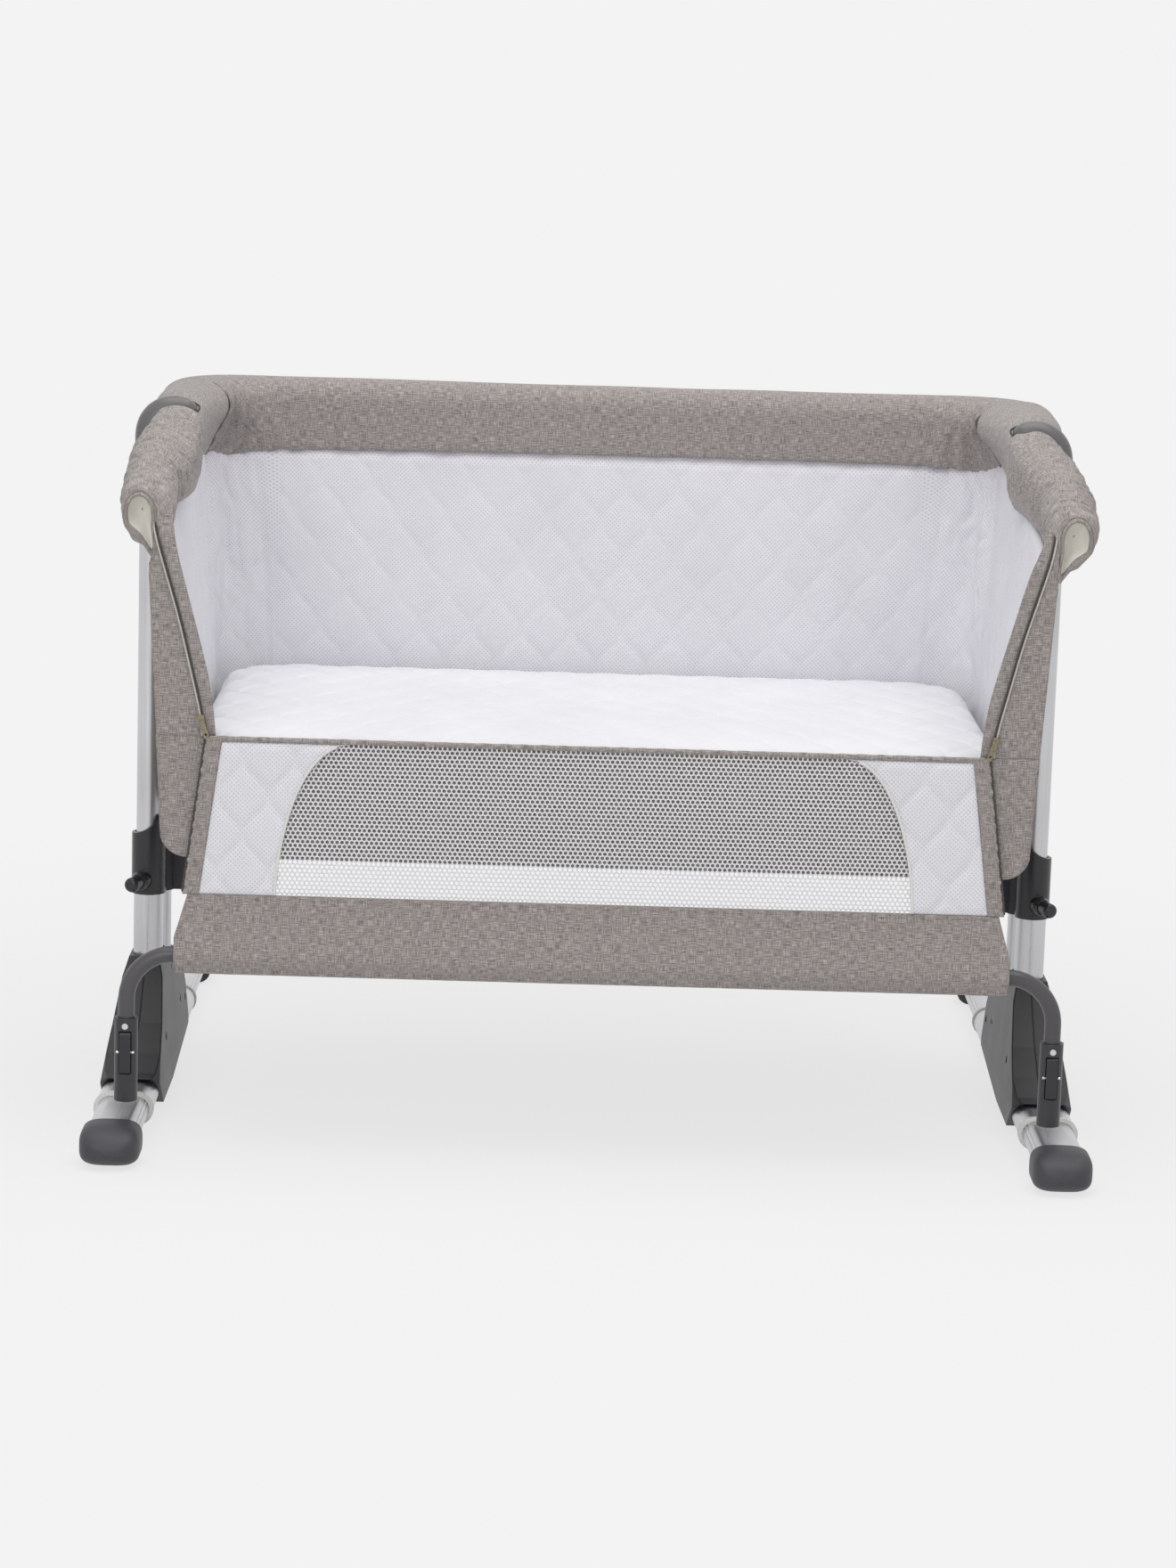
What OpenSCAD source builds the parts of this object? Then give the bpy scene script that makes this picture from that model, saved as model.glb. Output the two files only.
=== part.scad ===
// Bedside baby bed with one lowered side, shown at its lowest height.
// Millimetres, +Z up, origin under the middle of the footprint, -Y is the open front.

/* [Feet] */
// Distance from the middle of the bed to the middle of each foot
foot_x = 455; // [440:1:480]
// Width of the outer foot tube
foot_w = 56; // [50:1:62]
// Height of the outer foot tube
foot_h = 30; // [26:1:32]
// Clearance under the outer foot tube
foot_lift = 9; // [6:1:12]
// Wall of the foot tubes
foot_wall = 1.6; // [1.2:0.1:2.5]
// Front end of the outer foot tube
foot_front = 200; // [180:1:230]
// Rear end of the outer foot tube
foot_rear = 252; // [200:1:260]
// Gap between the outer foot tube and the foot that slides in it
bush_t = 1.2; // [0.8:0.1:1.6]
// Length of each front sliding foot, without its cap
slide_len = 225; // [180:5:240]
// Length of each rear sliding foot, without its cap
slide_len_rear = 265; // [250:5:280]
// How far each front foot stands out of its ring
slide_out = 119; // [90:1:125]
// How far each rear foot stands out of its ring
slide_out_rear = 195; // [150:1:205]
// Length of a rubber foot cap
cap_len = 50; // [40:1:60]
// Depth of the socket in a foot cap
cap_socket = 26; // [15:1:32]
// Height of a foot cap
cap_h = 40; // [38:1:44]
cap_w = 58; // [54:1:64]
// How far the nose of a foot cap rises off the floor
cap_rise = 8; // [4:0.5:8]
// Where the flat sole of a foot cap starts, inwards from the end of the foot
cap_flat = 12; // [6:1:14]

/* [Leg hubs] */
// Height of the moulded hub over the floor
hub_h = 136; // [125:1:150]
// Wall of the hub at its sides
hub_side = 2; // [1.5:0.1:4]
// Wall of the hub shells over the foot tube
hub_wall = 3; // [2:0.1:4]
// Diameter of the hub screws
screw_d = 4; // [3:0.5:5]
// Width of the hub at its top
hub_top_w = 38; // [34:1:44]
// Front toe of the hub
hub_toe = 114; // [100:1:125]
// Front lip of the hub, which arches over the foot tube
hub_lip = 159; // [150:1:165]
// Rear heel of the hub
hub_heel = 150; // [130:1:165]

/* [Posts] */
// Distance from the middle of the bed to the posts
post_x = 452.5; // [446:0.5:458]
// Place of the posts along the depth, behind the middle is positive
post_y = -6; // [-20:1:10]
// Diameter of the upper post
post_d = 26; // [22:0.5:27]
// Wall of the upper post
post_wall = 1.5; // [1:0.1:2.5]
// Wall of the lower post
lower_wall = 1.9; // [1.2:0.1:2.5]
// Running clearance between tubes that slide in each other, on the radius
slide_fit = 0.08; // [0.03:0.01:0.1]
// Height of the foot of the lower post
lower_bottom = 42; // [40:1:60]
// Height of the foot of the upper post at the lowest setting
upper_bottom = 60; // [50:1:90]
// Distance between the post and the slide tube behind it
tube_step = 44; // [40:1:50]
// How far the slide tube stands nearer to the bed than the post
tube_in = 6; // [2:1:8]
// Diameter of the slide tube
tube_d = 26; // [20:0.5:27]

/* [Collars and pull pins] */
// Bottom of the collar on the lower post
collar_z = 199.5; // [180:0.5:220]
// Height of the collar to its peak
collar_h = 82; // [70:1:95]
// Wall of the collar
collar_wall = 2.5; // [2:0.1:4]
// Height of the pull pin over the bottom of the collar
pin_up = 15; // [12:1:25]
// Diameter of the pull pin
pin_d = 6; // [4:0.5:8]
// Diameter of the knob on the pull pin
knob_d = 15; // [12:0.5:18]
// Length of the knob
knob_len = 18; // [14:1:24]
// Turn of the pull pin towards the outside
pin_turn = 18; // [0:1:30]

/* [Bed brackets] */
// Bottom of the bracket that joins the slide tube to the base frame
bracket_z = 194.5; // [180:0.5:215]
// Height of the bracket sleeve on the slide tube
bracket_h = 74; // [50:1:85]
// Thickness of the bracket web
web_t = 10; // [6:1:14]

/* [Base] */
// Height of the middle of the base frame tube
base_z = 328; // [320:1:335]
// Diameter of the base frame tube
base_d = 22; // [18:1:25]
// Half width of the base frame, tube middle
base_x = 396; // [380:1:398]
// Front of the base frame, tube middle
base_front = 240; // [225:1:244]
// Rear of the base frame, tube middle
base_rear = 226; // [210:1:228]
// Bend radius of the base frame corners
base_bend = 70; // [45:1:90]
// Thickness of the base board
board_t = 10; // [6:1:14]
// Half width of the mattress
mattress_x = 403; // [385:1:403]
// Thickness of the mattress at its edge
mattress_t = 52; // [40:1:60]
// Crown of the mattress over its edge
mattress_crown = 6; // [2:1:10]
// Front of the mattress
mattress_front = 255; // [245:1:256]
// Rear of the mattress
mattress_rear = 228; // [215:1:228]

/* [Top rail] */
// Height of the middle of the top rail
rail_z = 684; // [660:1:700]
// Diameter of the top rail tube
rail_d = 19; // [16:0.5:22]
// Radius of the elbow arm that holds the rail
arm_r = 14; // [12:0.5:16]
// Radius of the elbow socket on the post
socket_r = 17.5; // [16:0.5:20]
// Length of the elbow socket under its arm
socket_h = 22; // [15:1:40]
// Wall of the top rail tube
rail_wall = 1.2; // [1:0.1:2]
// Depth of the back run of the rail behind the middle
rail_back = 247; // [240:1:255]
// Half width of the rail at the back corners
rail_x_back = 405; // [395:1:412]
// Bend radius of the back corners
rail_bend = 60; // [45:1:80]
// Half width of the rail where it dips
rail_x_mid = 430; // [425:1:436]
// Place along the depth where the rail dips towards the front
dip_y = -40; // [-60:1:-30]
// Half width of the sleeve mouths
mouth_x = 440; // [434:1:446]
// Depth of the sleeve mouths
mouth_y = -262; // [-262:1:-250]
// Height of the middle of the sleeve mouths
mouth_z = 617; // [600:1:640]
// Front end of the tube inside the sleeves
rail_end_y = -120; // [-140:1:-100]
// Radius of the padded sleeve
sleeve_r = 22; // [19:0.5:25]
// Drop of the sleeve seam under the rail
sleeve_drop = 44; // [38:1:50]
// Thickness of the sleeve cloth with its padding
sleeve_t = 6; // [3:0.5:8]
// Gap between soft pieces and what they lie against
soft_gap = 0.3; // [0.2:0.1:0.6]
// Swelling of the rail at its crimps, on the radius
crimp = 0.25; // [0.1:0.05:0.4]

/* [Cloth body] */
// Underside of the cloth body
body_z = 290; // [280:1:298]
// Half width of the cloth body low down
body_x_low = 417; // [414:1:424]
// Half width of the cloth body at the top
body_x_top = 433; // [430:1:436]
// Front face of the cloth body
body_front = 262; // [260:1:265]
// Rear inner face of the cloth body
body_rear = 244; // [240:1:250]
// Thickness of the outer cloth
cloth_t = 3; // [2:0.5:4]
// Radius of the lower long edges
body_round = 26; // [15:1:30]
// Thickness of the quilted lining
lining_t = 8; // [4:0.5:8]
// Top of the front fascia
fascia_top = 408; // [400:1:409]

/* [Lowered front panel] */
// Height of the hinge seam at the top of the panel
hinge_z = 406.5; // [404:0.5:412]
// Radius of the rolled seam that the panel hinges on
seam_r = 2.6; // [2:0.1:3.5]
// Half width of the panel at the top
panel_top_x = 369; // [360:1:370]
// Half width of the panel at the top of the hem
panel_hem_x = 389; // [380:1:395]
// Half width of the panel at the bottom
panel_low_x = 401; // [398:1:404]
// Height of the top of the hem
hem_top = 255; // [245:1:265]
// Height of the bottom of the hem
hem_low = 174; // [168:1:180]
// Width of the side binding
binding_w = 10; // [6:1:14]
// Half width of the mesh window at the bottom
window_low_x = 305; // [280:1:320]
// Half width of the mesh window at the top
window_top_x = 240; // [200:1:260]
// Thickness of the panel cloth
panel_t = 3; // [2:0.5:4]
// Thickness of the mesh
mesh_t = 1.2; // [0.8:0.1:2]
// Spacing of the mesh openings along the window
mesh_pitch = 24; // [22:0.5:40]
// Width of the mesh strands
strand = 3; // [2:0.1:5]

/* [Front rail bar] */
// Height of the bar in the hem
bar_z = 195; // [190:1:200]
// Diameter of the bar
bar_d = 16; // [12:0.5:17]
// Distance from the middle to the legs of the bar
bar_x = 446.5; // [440:0.5:450]
// Bend radius of the bar
bar_bend = 45.5; // [40:0.5:46]
// Height of the lower end of the connectors
conn_z = 50; // [48:1:60]
// Length of a connector
conn_len = 82; // [75:1:90]
// Diameter of a connector
conn_d = 22.5; // [21.5:0.5:24]
// Depth of the socket that takes the rail end
socket_len = 24; // [15:1:26]
// Width of the rocker button
button_w = 11; // [8:0.5:13]
// Length of the rocker button
button_len = 40; // [30:1:44]
// Thickness of the rocker button
button_t = 6; // [4:0.5:7]
// Diameter of the pin that the button rocks on
rocker_pin_d = 3; // [2:0.5:4]

/* [Hidden] */
$fn = 64;

plastic = [0.22, 0.215, 0.235];
painted = [0.27, 0.265, 0.27];
alu = [0.78, 0.78, 0.79];
melange = [0.56, 0.53, 0.51];
quilt = [0.9, 0.9, 0.94];
white = [0.93, 0.93, 0.92];
silver = [0.8, 0.8, 0.8];
brass = [0.7, 0.6, 0.4];
board_colour = [0.75, 0.7, 0.62];

foot_mid_z = foot_lift + foot_h / 2;
foot_top = foot_lift + foot_h;
bush_w = foot_w - 2 * foot_wall - 2 * slide_fit;
bush_h = foot_h - 2 * foot_wall - 2 * slide_fit;
inner_w = bush_w - 2 * bush_t;
inner_h = bush_h - 2 * bush_t;
ring_lip = 5;
lower_r = post_d / 2 + slide_fit + lower_wall;
tube_x = post_x - tube_in;
tube_y = post_y + tube_step;
collar_r = lower_r + collar_wall;
sleeve_out_r = tube_d / 2 + 3.5;
board_z = base_z + base_d / 2 + 1;
mattress_z = board_z + board_t + soft_gap;
elbow_y = post_y;
hinge_y = -body_front - soft_gap - seam_r;
bar_y = hinge_y;
panel_top = hinge_z - seam_r - 0.1;
big = 1200;

// Direction and frame helpers for bent tubes
function unit(v) = v / norm(v);
function any_normal(d) = unit(cross(d, abs(d[2]) < 0.9 ? [0, 0, 1] : [1, 0, 0]));
function frame(x, y, z, o) = [[x[0], y[0], z[0], o[0]], [x[1], y[1], z[1], o[1]],
                              [x[2], y[2], z[2], o[2]], [0, 0, 0, 1]];
function turn_of(a, b) = acos(min(1, max(-1, a * b)));

module rod(p, q, r) {
    d = unit(q - p);
    x = any_normal(d);
    multmatrix(frame(x, cross(d, x), d, p)) cylinder(h = norm(q - p), r = r);
}

module bend(p, a, b, bend_r, r) {
    t = bend_r * tan(turn_of(a, b) / 2);
    n = unit(b - a * (a * b));
    multmatrix(frame(-n, a, cross(-n, a), p - a * t + n * bend_r))
        rotate_extrude(angle = turn_of(a, b)) translate([bend_r, 0]) circle(r = r);
}

// A rod along points with a round bend at each inner point
module bent_rod(pts, bends, r) {
    last = len(pts) - 1;
    dirs = [for (i = [0 : last - 1]) unit(pts[i + 1] - pts[i])];
    trims = [for (i = [0 : last])
        i == 0 || i == last ? 0 : bends[i - 1] * tan(turn_of(dirs[i - 1], dirs[i]) / 2)];
    for (i = [0 : last - 1])
        rod(pts[i] + dirs[i] * trims[i], pts[i + 1] - dirs[i] * trims[i + 1], r);
    for (i = [1 : last - 1])
        bend(pts[i], dirs[i - 1], dirs[i], bends[i - 1], r);
}

module stadium(w, h) {
    square([w - h, h], center = true);
    for (s = [-1, 1]) translate([s * (w - h) / 2, 0]) circle(d = h);
}

module rounded_plate(x0, x1, y0, y1, r) {
    translate([x0 + r, y0]) square([x1 - x0 - 2 * r, y1 - y0]);
    translate([x0, y0 + r]) square([x1 - x0, y1 - y0 - 2 * r]);
    for (x = [x0 + r, x1 - r], y = [y0 + r, y1 - r]) translate([x, y]) circle(r = r);
}

// Extrudes a profile drawn as (x, z) between two depths
module along_y(y0, y1) {
    translate([0, y1, 0]) rotate([90, 0, 0]) linear_extrude(y1 - y0) children();
}

// Extrudes a profile drawn as (y, z) between two widths
module along_x(x0, x1) {
    translate([x0, 0, 0]) rotate([90, 0, 90]) linear_extrude(x1 - x0) children();
}

module left_side() { mirror([1, 0, 0]) children(); }

// Everything is drawn with the posts near the middle, then moved so that the origin is
// under the middle of the footprint of the feet
module placed() {
    middle = (foot_rear + slide_out_rear - foot_front - slide_out) / 2;
    translate([0, -middle, 0]) children();
}

// All paired pieces are drawn for the right side, where x is positive

// Feet

module foot_run(y0, y1, w, h) {
    translate([foot_x, 0, foot_mid_z]) along_y(y0, y1) stadium(w, h);
}

module foot_tube() {
    color(alu) difference() {
        foot_run(-foot_front, foot_rear, foot_w, foot_h);
        foot_run(-foot_front - 1, foot_rear + 1, foot_w - 2 * foot_wall, foot_h - 2 * foot_wall);
    }
}

module foot_ring(y_end, s) {
    y0 = s < 0 ? y_end - ring_lip : y_end;
    difference() {
        union() {
            foot_run(y0, y0 + ring_lip, foot_w + 3, foot_h + 3);
            foot_run(min(y0 + 1, y_end - s * 18), max(y0 + ring_lip - 1, y_end - s * 18),
                     bush_w, bush_h);
        }
        foot_run(y_end - 40, y_end + 40, inner_w + 2 * slide_fit, inner_h + 2 * slide_fit);
    }
}

module foot_rings() {
    color(white) {
        foot_ring(-foot_front, -1);
        foot_ring(foot_rear, 1);
    }
}

module sliding_foot(y0, y1) {
    color(alu) difference() {
        foot_run(y0, y1, inner_w, inner_h);
        foot_run(y0 - 1, y1 + 1, inner_w - 2 * foot_wall, inner_h - 2 * foot_wall);
        for (turn = [132, 152]) translate([foot_x - (inner_w - inner_h) / 2, 0, foot_mid_z])
            along_y(y0 - 1, y1 + 1) rotate(turn) translate([inner_h / 2 - 0.5, -0.5]) square([2, 1]);
    }
}

front_tip = -foot_front - ring_lip - slide_out;
rear_tip = foot_rear + ring_lip + slide_out_rear;

module front_foot() { sliding_foot(front_tip, front_tip + slide_len); }
module rear_foot() { sliding_foot(rear_tip - slide_len_rear, rear_tip); }

// Rubber cap pointing to -Y with its open end at y = 0
module cap_shape() {
    nose = cap_len - cap_socket;
    difference() {
        intersection() {
            along_y(-nose, cap_socket) rounded_plate(-cap_w / 2, cap_w / 2, 0, cap_h, 13);
            along_x(-cap_w, cap_w) {
                polygon([[cap_flat, 0], [cap_socket, 0], [cap_socket, cap_h], [-nose + 20, cap_h],
                         [-nose, cap_h - 20], [-nose, cap_rise + 8.4], [-nose + 6.6, cap_rise - 0.2]]);
                translate([-nose + 9, cap_rise + 8.4]) circle(r = 9);
                translate([-nose + 20, cap_h - 20]) circle(r = 20);
            }
            translate([0, 0, -1]) linear_extrude(cap_h + 2)
                rounded_plate(-cap_w / 2, cap_w / 2, -nose, cap_socket + 40, 17);
        }
        translate([0, 0, foot_mid_z]) along_y(0, cap_socket + 1)
            stadium(inner_w + 2 * slide_fit, inner_h + 2 * slide_fit);
    }
}

module front_cap() { color(plastic) translate([foot_x, front_tip - slide_fit, 0]) cap_shape(); }
module rear_cap() {
    color(plastic) translate([foot_x, rear_tip + slide_fit, 0]) mirror([0, 1, 0]) cap_shape();
}

// Leg hubs, posts and collars

module hub_profile() {
    polygon([
        [-hub_toe, 7], [-hub_lip, foot_top + 3], [-hub_lip + 12, foot_top + 6], [-120, 59],
        [-84, 81], [-53, 107], [post_y - 24, hub_h - 8],
        [post_y - 20, hub_h], [tube_y + 20, hub_h], [tube_y + 26, hub_h - 6],
        [hub_heel - 38, 112], [hub_heel - 10, 92], [hub_heel, 70], [hub_heel, 24], [-15, 7]
    ]);
}

module hub_section() {
    w = foot_w + 2 * hub_side;
    polygon([
        [-w / 2, 0], [w / 2, 0], [w / 2, foot_mid_z + 8], [w / 2 - 4, 72],
        [hub_top_w / 2 + 1.5, 118], [hub_top_w / 2 - 4, hub_h + 1], [-hub_top_w / 2 + 4, hub_h + 1],
        [-hub_top_w / 2 - 1.5, 118], [-w / 2 + 4, 72], [-w / 2, foot_mid_z + 8]
    ]);
}

module hub_cavity() {
    z0 = foot_lift + foot_h + hub_wall;
    t = hub_wall;
    w = foot_w + 2 * hub_side;
    difference() {
        intersection() {
            along_x(foot_x - 60, foot_x + 60) polygon([
                [-92, z0], [-78, 62 + t], [-50 + t, 98], [post_y - 21, hub_h - 8 - t],
                [tube_y + 21, hub_h - 8 - t], [hub_heel - 42, 108], [hub_heel - 14, 88],
                [hub_heel - t, 69], [hub_heel - t, z0]
            ]);
            translate([foot_x - 0.5, 0, 0]) along_y(-hub_toe, hub_heel) polygon([
                [-w / 2 + t, z0], [w / 2 - t, z0], [w / 2 - 4 - t, 72], [hub_top_w / 2 - t, 118],
                [hub_top_w / 2 - 4 - t, hub_h], [-hub_top_w / 2 + 4 + t, hub_h],
                [-hub_top_w / 2 + t, 118], [-w / 2 + 4 + t, 72]
            ]);
        }
        translate([post_x, post_y, 0]) cylinder(h = hub_h, r = lower_r + slide_fit + t);
        translate([tube_x, tube_y, 0]) cylinder(h = hub_h, r = tube_d / 2 + slide_fit + t);
        for (p = hub_screw_spots) hub_screw_line(p, screw_d / 2 + 3, 0, 200);
    }
}

hub_screw_spots = [[-62, 62], [88, 66], [134, 56], [74, 108]];

// A cylinder along a hub screw, from a to b outwards from the inner face of the hub
module hub_screw_line(p, r, a, b) {
    translate([foot_x - 0.5 - foot_w / 2 - hub_side + a, p[0], p[1]]) rotate([0, 90, 0])
        cylinder(h = b - a, r = r);
}

// Cuts the shoulder beside the front lip, so that the lip follows the round foot tube
module hub_shoulder(s) {
    w = foot_w / 2 + hub_side;
    low = [s * w, -hub_lip, foot_top - 10];
    n = unit(cross([-s * 8.5, 0, 13], [0, 49, 33]) * -s);
    x = any_normal(n);
    translate([foot_x - 0.5, 0, 0]) multmatrix(frame(x, cross(n, x), n, low))
        translate([-200, -200, 0]) cube([400, 400, 60]);
}

module hub_solid() {
    difference() {
        intersection() {
            along_x(foot_x - 60, foot_x + 60) hub_profile();
            translate([foot_x - 0.5, 0, 0]) along_y(-hub_lip - 1, hub_heel + 1) hub_section();
        }
        hub_cavity();
        for (s = [-1, 1]) hub_shoulder(s);
        foot_run(-foot_front, foot_rear, foot_w + 2 * slide_fit, foot_h + 2 * slide_fit);
        translate([post_x, post_y, lower_bottom - soft_gap]) cylinder(h = hub_h, r = lower_r + slide_fit);
        translate([tube_x, tube_y, lower_bottom - soft_gap])
            cylinder(h = hub_h, r = tube_d / 2 + slide_fit);
        for (p = hub_screw_spots) {
            hub_screw_line(p, screw_d / 2 + slide_fit, 0, 44 + slide_fit);
            hub_screw_line(p, screw_d + slide_fit, -30, screw_head(p));
        }
    }
}

// Depth of a screw head seat under the inner face of the hub, which leans in towards its top
function screw_head(p) = p[1] > 100 ? 15 : 7;

module hub_screws() {
    color(silver) for (s = [0, 1]) mirror([s, 0, 0]) for (p = hub_screw_spots) {
        hub_screw_line(p, screw_d / 2, screw_head(p), 44);
        hub_screw_line(p, screw_d, screw_head(p) - 3, screw_head(p));
    }
}

module hub_outer() {
    color(plastic) intersection() {
        hub_solid();
        translate([post_x, -big / 2, -1]) cube([200, big, 300]);
    }
}

module hub_inner() {
    color(plastic) difference() {
        hub_solid();
        translate([post_x, -big / 2, -1]) cube([200, big, 300]);
    }
}

module lower_post() {
    top = collar_z + 56;
    color(alu) difference() {
        translate([post_x, post_y, lower_bottom]) cylinder(h = top - lower_bottom, r = lower_r);
        translate([post_x, post_y, lower_bottom - 1])
            cylinder(h = top, r = post_d / 2 + slide_fit);
        pin_line(pin_d / 2 + slide_fit, 0, 60);
    }
}

// A cylinder along the pull pin, from a to b out of the post axis
module pin_line(r, a, b) {
    translate([post_x, post_y, collar_z + pin_up]) rotate([0, 0, pin_turn - 90])
        rotate([0, 90, 0]) translate([0, 0, a]) cylinder(h = b - a, r = r);
}

boss_end = collar_r + 11;

module collar() {
    scoop = 40;
    color(plastic) difference() {
        union() {
            translate([post_x, post_y, collar_z]) cylinder(h = collar_h, r = collar_r);
            pin_line(10, lower_r, collar_r + 5);
            translate([post_x, post_y, collar_z + pin_up]) rotate([0, 0, pin_turn - 90])
                rotate([0, 90, 0]) translate([0, 0, collar_r + 5]) cylinder(h = 6, r1 = 10, r2 = 8);
        }
        translate([post_x, post_y, collar_z - 1]) cylinder(h = 57 + slide_fit, r = lower_r + slide_fit);
        translate([post_x, post_y, collar_z - 1]) cylinder(h = collar_h + 2, r = post_d / 2 + 1);
        translate([post_x + collar_r + 5, post_y, collar_z + collar_h + 20]) rotate([90, 0, 0])
            cylinder(h = 100, r = scoop, center = true);
        pin_line(pin_d / 2 + slide_fit, 0, 60);
    }
}

module pull_pin() {
    color(plastic) {
        pin_line(pin_d / 2, post_d / 2 + 0.4, boss_end + 4);
        pin_line(knob_d / 2 - 1, boss_end + soft_gap, boss_end + 2);
        pin_line(knob_d / 2, boss_end + 2, boss_end + knob_len - 4);
        translate([post_x, post_y, collar_z + pin_up]) rotate([0, 0, pin_turn - 90])
            rotate([0, 90, 0]) translate([0, 0, boss_end + knob_len - 4])
            rotate_extrude() intersection() {
                square([knob_d / 2, 4]);
                union() {
                    square([knob_d / 2 - 4, 4]);
                    translate([knob_d / 2 - 4, 0]) circle(r = 4);
                }
            }
    }
}

module upper_post() {
    top = rail_z - 28;
    color(alu) difference() {
        translate([post_x, post_y, upper_bottom]) cylinder(h = top - upper_bottom, r = post_d / 2);
        translate([post_x, post_y, upper_bottom - 1])
            cylinder(h = top, r = post_d / 2 - post_wall);
        for (step = [0 : 25 : 100]) translate([0, 0, -step])
            pin_line(pin_d / 2 + slide_fit, 0, 30);
    }
}

module slide_tube() {
    color(alu) difference() {
        translate([tube_x, tube_y, lower_bottom])
            cylinder(h = bracket_z + bracket_h - 4 - lower_bottom, r = tube_d / 2);
        translate([tube_x, tube_y, lower_bottom - 1])
            cylinder(h = bracket_z + bracket_h - 4 - lower_bottom - 3, r = tube_d / 2 - post_wall);
    }
}

module bracket() {
    color(plastic) difference() {
        union() {
            translate([tube_x, tube_y, bracket_z]) cylinder(h = bracket_h, r = sleeve_out_r);
            along_y(tube_y - web_t / 2, tube_y + web_t / 2) polygon([
                [tube_x, bracket_z], [base_x + 10, bracket_z], [base_x + 7, bracket_z + 5],
                [base_x + 7, body_z - 24], [base_x - base_d / 2 - 3, body_z + 2],
                [base_x - base_d / 2 - 3, base_z], [base_x + base_d / 2 + 4, base_z],
                [base_x + base_d / 2 + 4, body_z + 6], [tube_x - 22, bracket_z + bracket_h + 4],
                [tube_x, bracket_z + bracket_h]
            ]);
            translate([base_x, tube_y + 20, base_z]) rotate([90, 0, 0])
                cylinder(h = 40, r = base_d / 2 + 4);
        }
        translate([tube_x, tube_y, bracket_z - 1])
            cylinder(h = bracket_h - 3 + slide_fit, r = tube_d / 2 + slide_fit);
        translate([base_x, tube_y + 30, base_z]) rotate([90, 0, 0])
            cylinder(h = 60, r = base_d / 2 + slide_fit);
        translate([0, -big / 2, base_z + base_d / 2 + 0.7]) cube([big, big, 40]);
        for (s = [-1, 1]) bracket_bolt_line(s, 3.1);
    }
}

module bracket_bolt_line(s, r) {
    translate([base_x - base_d / 2 - 4, tube_y + s * 13, base_z]) rotate([0, 90, 0])
        cylinder(h = 6, r = r);
}

module bracket_bolts() {
    color(silver) for (side = [0, 1]) mirror([side, 0, 0]) for (s = [-1, 1]) {
        translate([-slide_fit, 0, 0]) intersection() {
            bracket_bolt_line(s, 3);
            translate([0, -big / 2, 0]) cube([base_x - base_d / 2 - 2 * slide_fit, big, big]);
        }
        translate([base_x - base_d / 2 - 7.2, tube_y + s * 13, base_z]) rotate([0, 90, 0])
            cylinder(h = 3, r = 5);
    }
}

// Top rail and its elbows

arm_start = [rail_x_back, rail_back - rail_bend, rail_z];
rail_dip = [rail_x_mid, dip_y, rail_z];
mouth = [mouth_x, mouth_y, mouth_z];
rail_end = rail_dip + (mouth - rail_dip) * (dip_y - rail_end_y) / (dip_y - mouth_y);
arm_dir = unit(rail_dip - arm_start);
dip_dir = unit(mouth - rail_dip);
elbow_at = arm_start + (rail_dip - arm_start) * (arm_start[1] - elbow_y) / (arm_start[1] - dip_y);
arm_turn = atan2(arm_dir[0], -arm_dir[1]);

// The rail turns square corners and has small crimps where its arms spread and dip
module rail_path(r, extra) {
    side = rail_x_back - rail_bend;
    rod([-side, rail_back, rail_z], [side, rail_back, rail_z], r);
    for (s = [0, 1]) mirror([s, 0, 0]) {
        translate([side, rail_back - rail_bend, rail_z])
            rotate_extrude(angle = 90) translate([rail_bend, 0]) circle(r = r);
        rod(arm_start, rail_dip, r);
        rod(rail_dip, rail_end + dip_dir * extra, r);
        translate(arm_start) sphere(r = r + crimp);
        translate(rail_dip) sphere(r = r + crimp);
    }
}

module top_rail() {
    color(painted) difference() {
        rail_path(rail_d / 2, 0, $fn = 32);
        rail_path(rail_d / 2 - rail_wall, 1, $fn = 32);
    }
}

module elbow() {
    arc_r = post_x - elbow_at[0];
    color(plastic) difference() {
        union() {
            translate([post_x, post_y, rail_z - arc_r - socket_h]) cylinder(h = socket_h, r = socket_r);
            translate([post_x, post_y, rail_z - arc_r])
                cylinder(h = 8, r1 = socket_r, r2 = arm_r + 0.3);
            bend([post_x, post_y, rail_z], [0, 0, 1], [-1, 0, 0], arc_r, arm_r);
            translate(elbow_at) rotate([0, 0, arm_turn]) rotate([90, 0, 0])
                cylinder(h = 34, r = rail_d / 2 + 5, center = true);
        }
        translate([post_x, post_y, rail_z - 80])
            cylinder(h = 52 + slide_fit, r = post_d / 2 + slide_fit);
        translate(elbow_at) rotate([0, 0, arm_turn]) rotate([90, 0, 0])
            cylinder(h = 80, r = rail_d / 2 + slide_fit, center = true);
    }
}

// Base frame, board and mattress

module base_frame() {
    color(painted) difference() {
        base_loop(base_d / 2);
        base_loop(base_d / 2 - rail_wall);
    }
}

module base_loop(r) {
    x = base_x - base_bend;
    y0 = -base_front + base_bend;
    y1 = base_rear - base_bend;
    for (s = [-1, 1]) {
        rod([s * base_x, y0, base_z], [s * base_x, y1, base_z], r);
        for (front = [0, 1])
            translate([s * x, front ? y0 : y1, base_z]) rotate([0, 0, front ? (s > 0 ? -90 : 180)
                                                                         : (s > 0 ? 0 : 90)])
                rotate_extrude(angle = 90) translate([base_bend, 0]) circle(r = r);
    }
    rod([-x, -base_front, base_z], [x, -base_front, base_z], r);
    rod([-x, base_rear, base_z], [x, base_rear, base_z], r);
}

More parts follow.
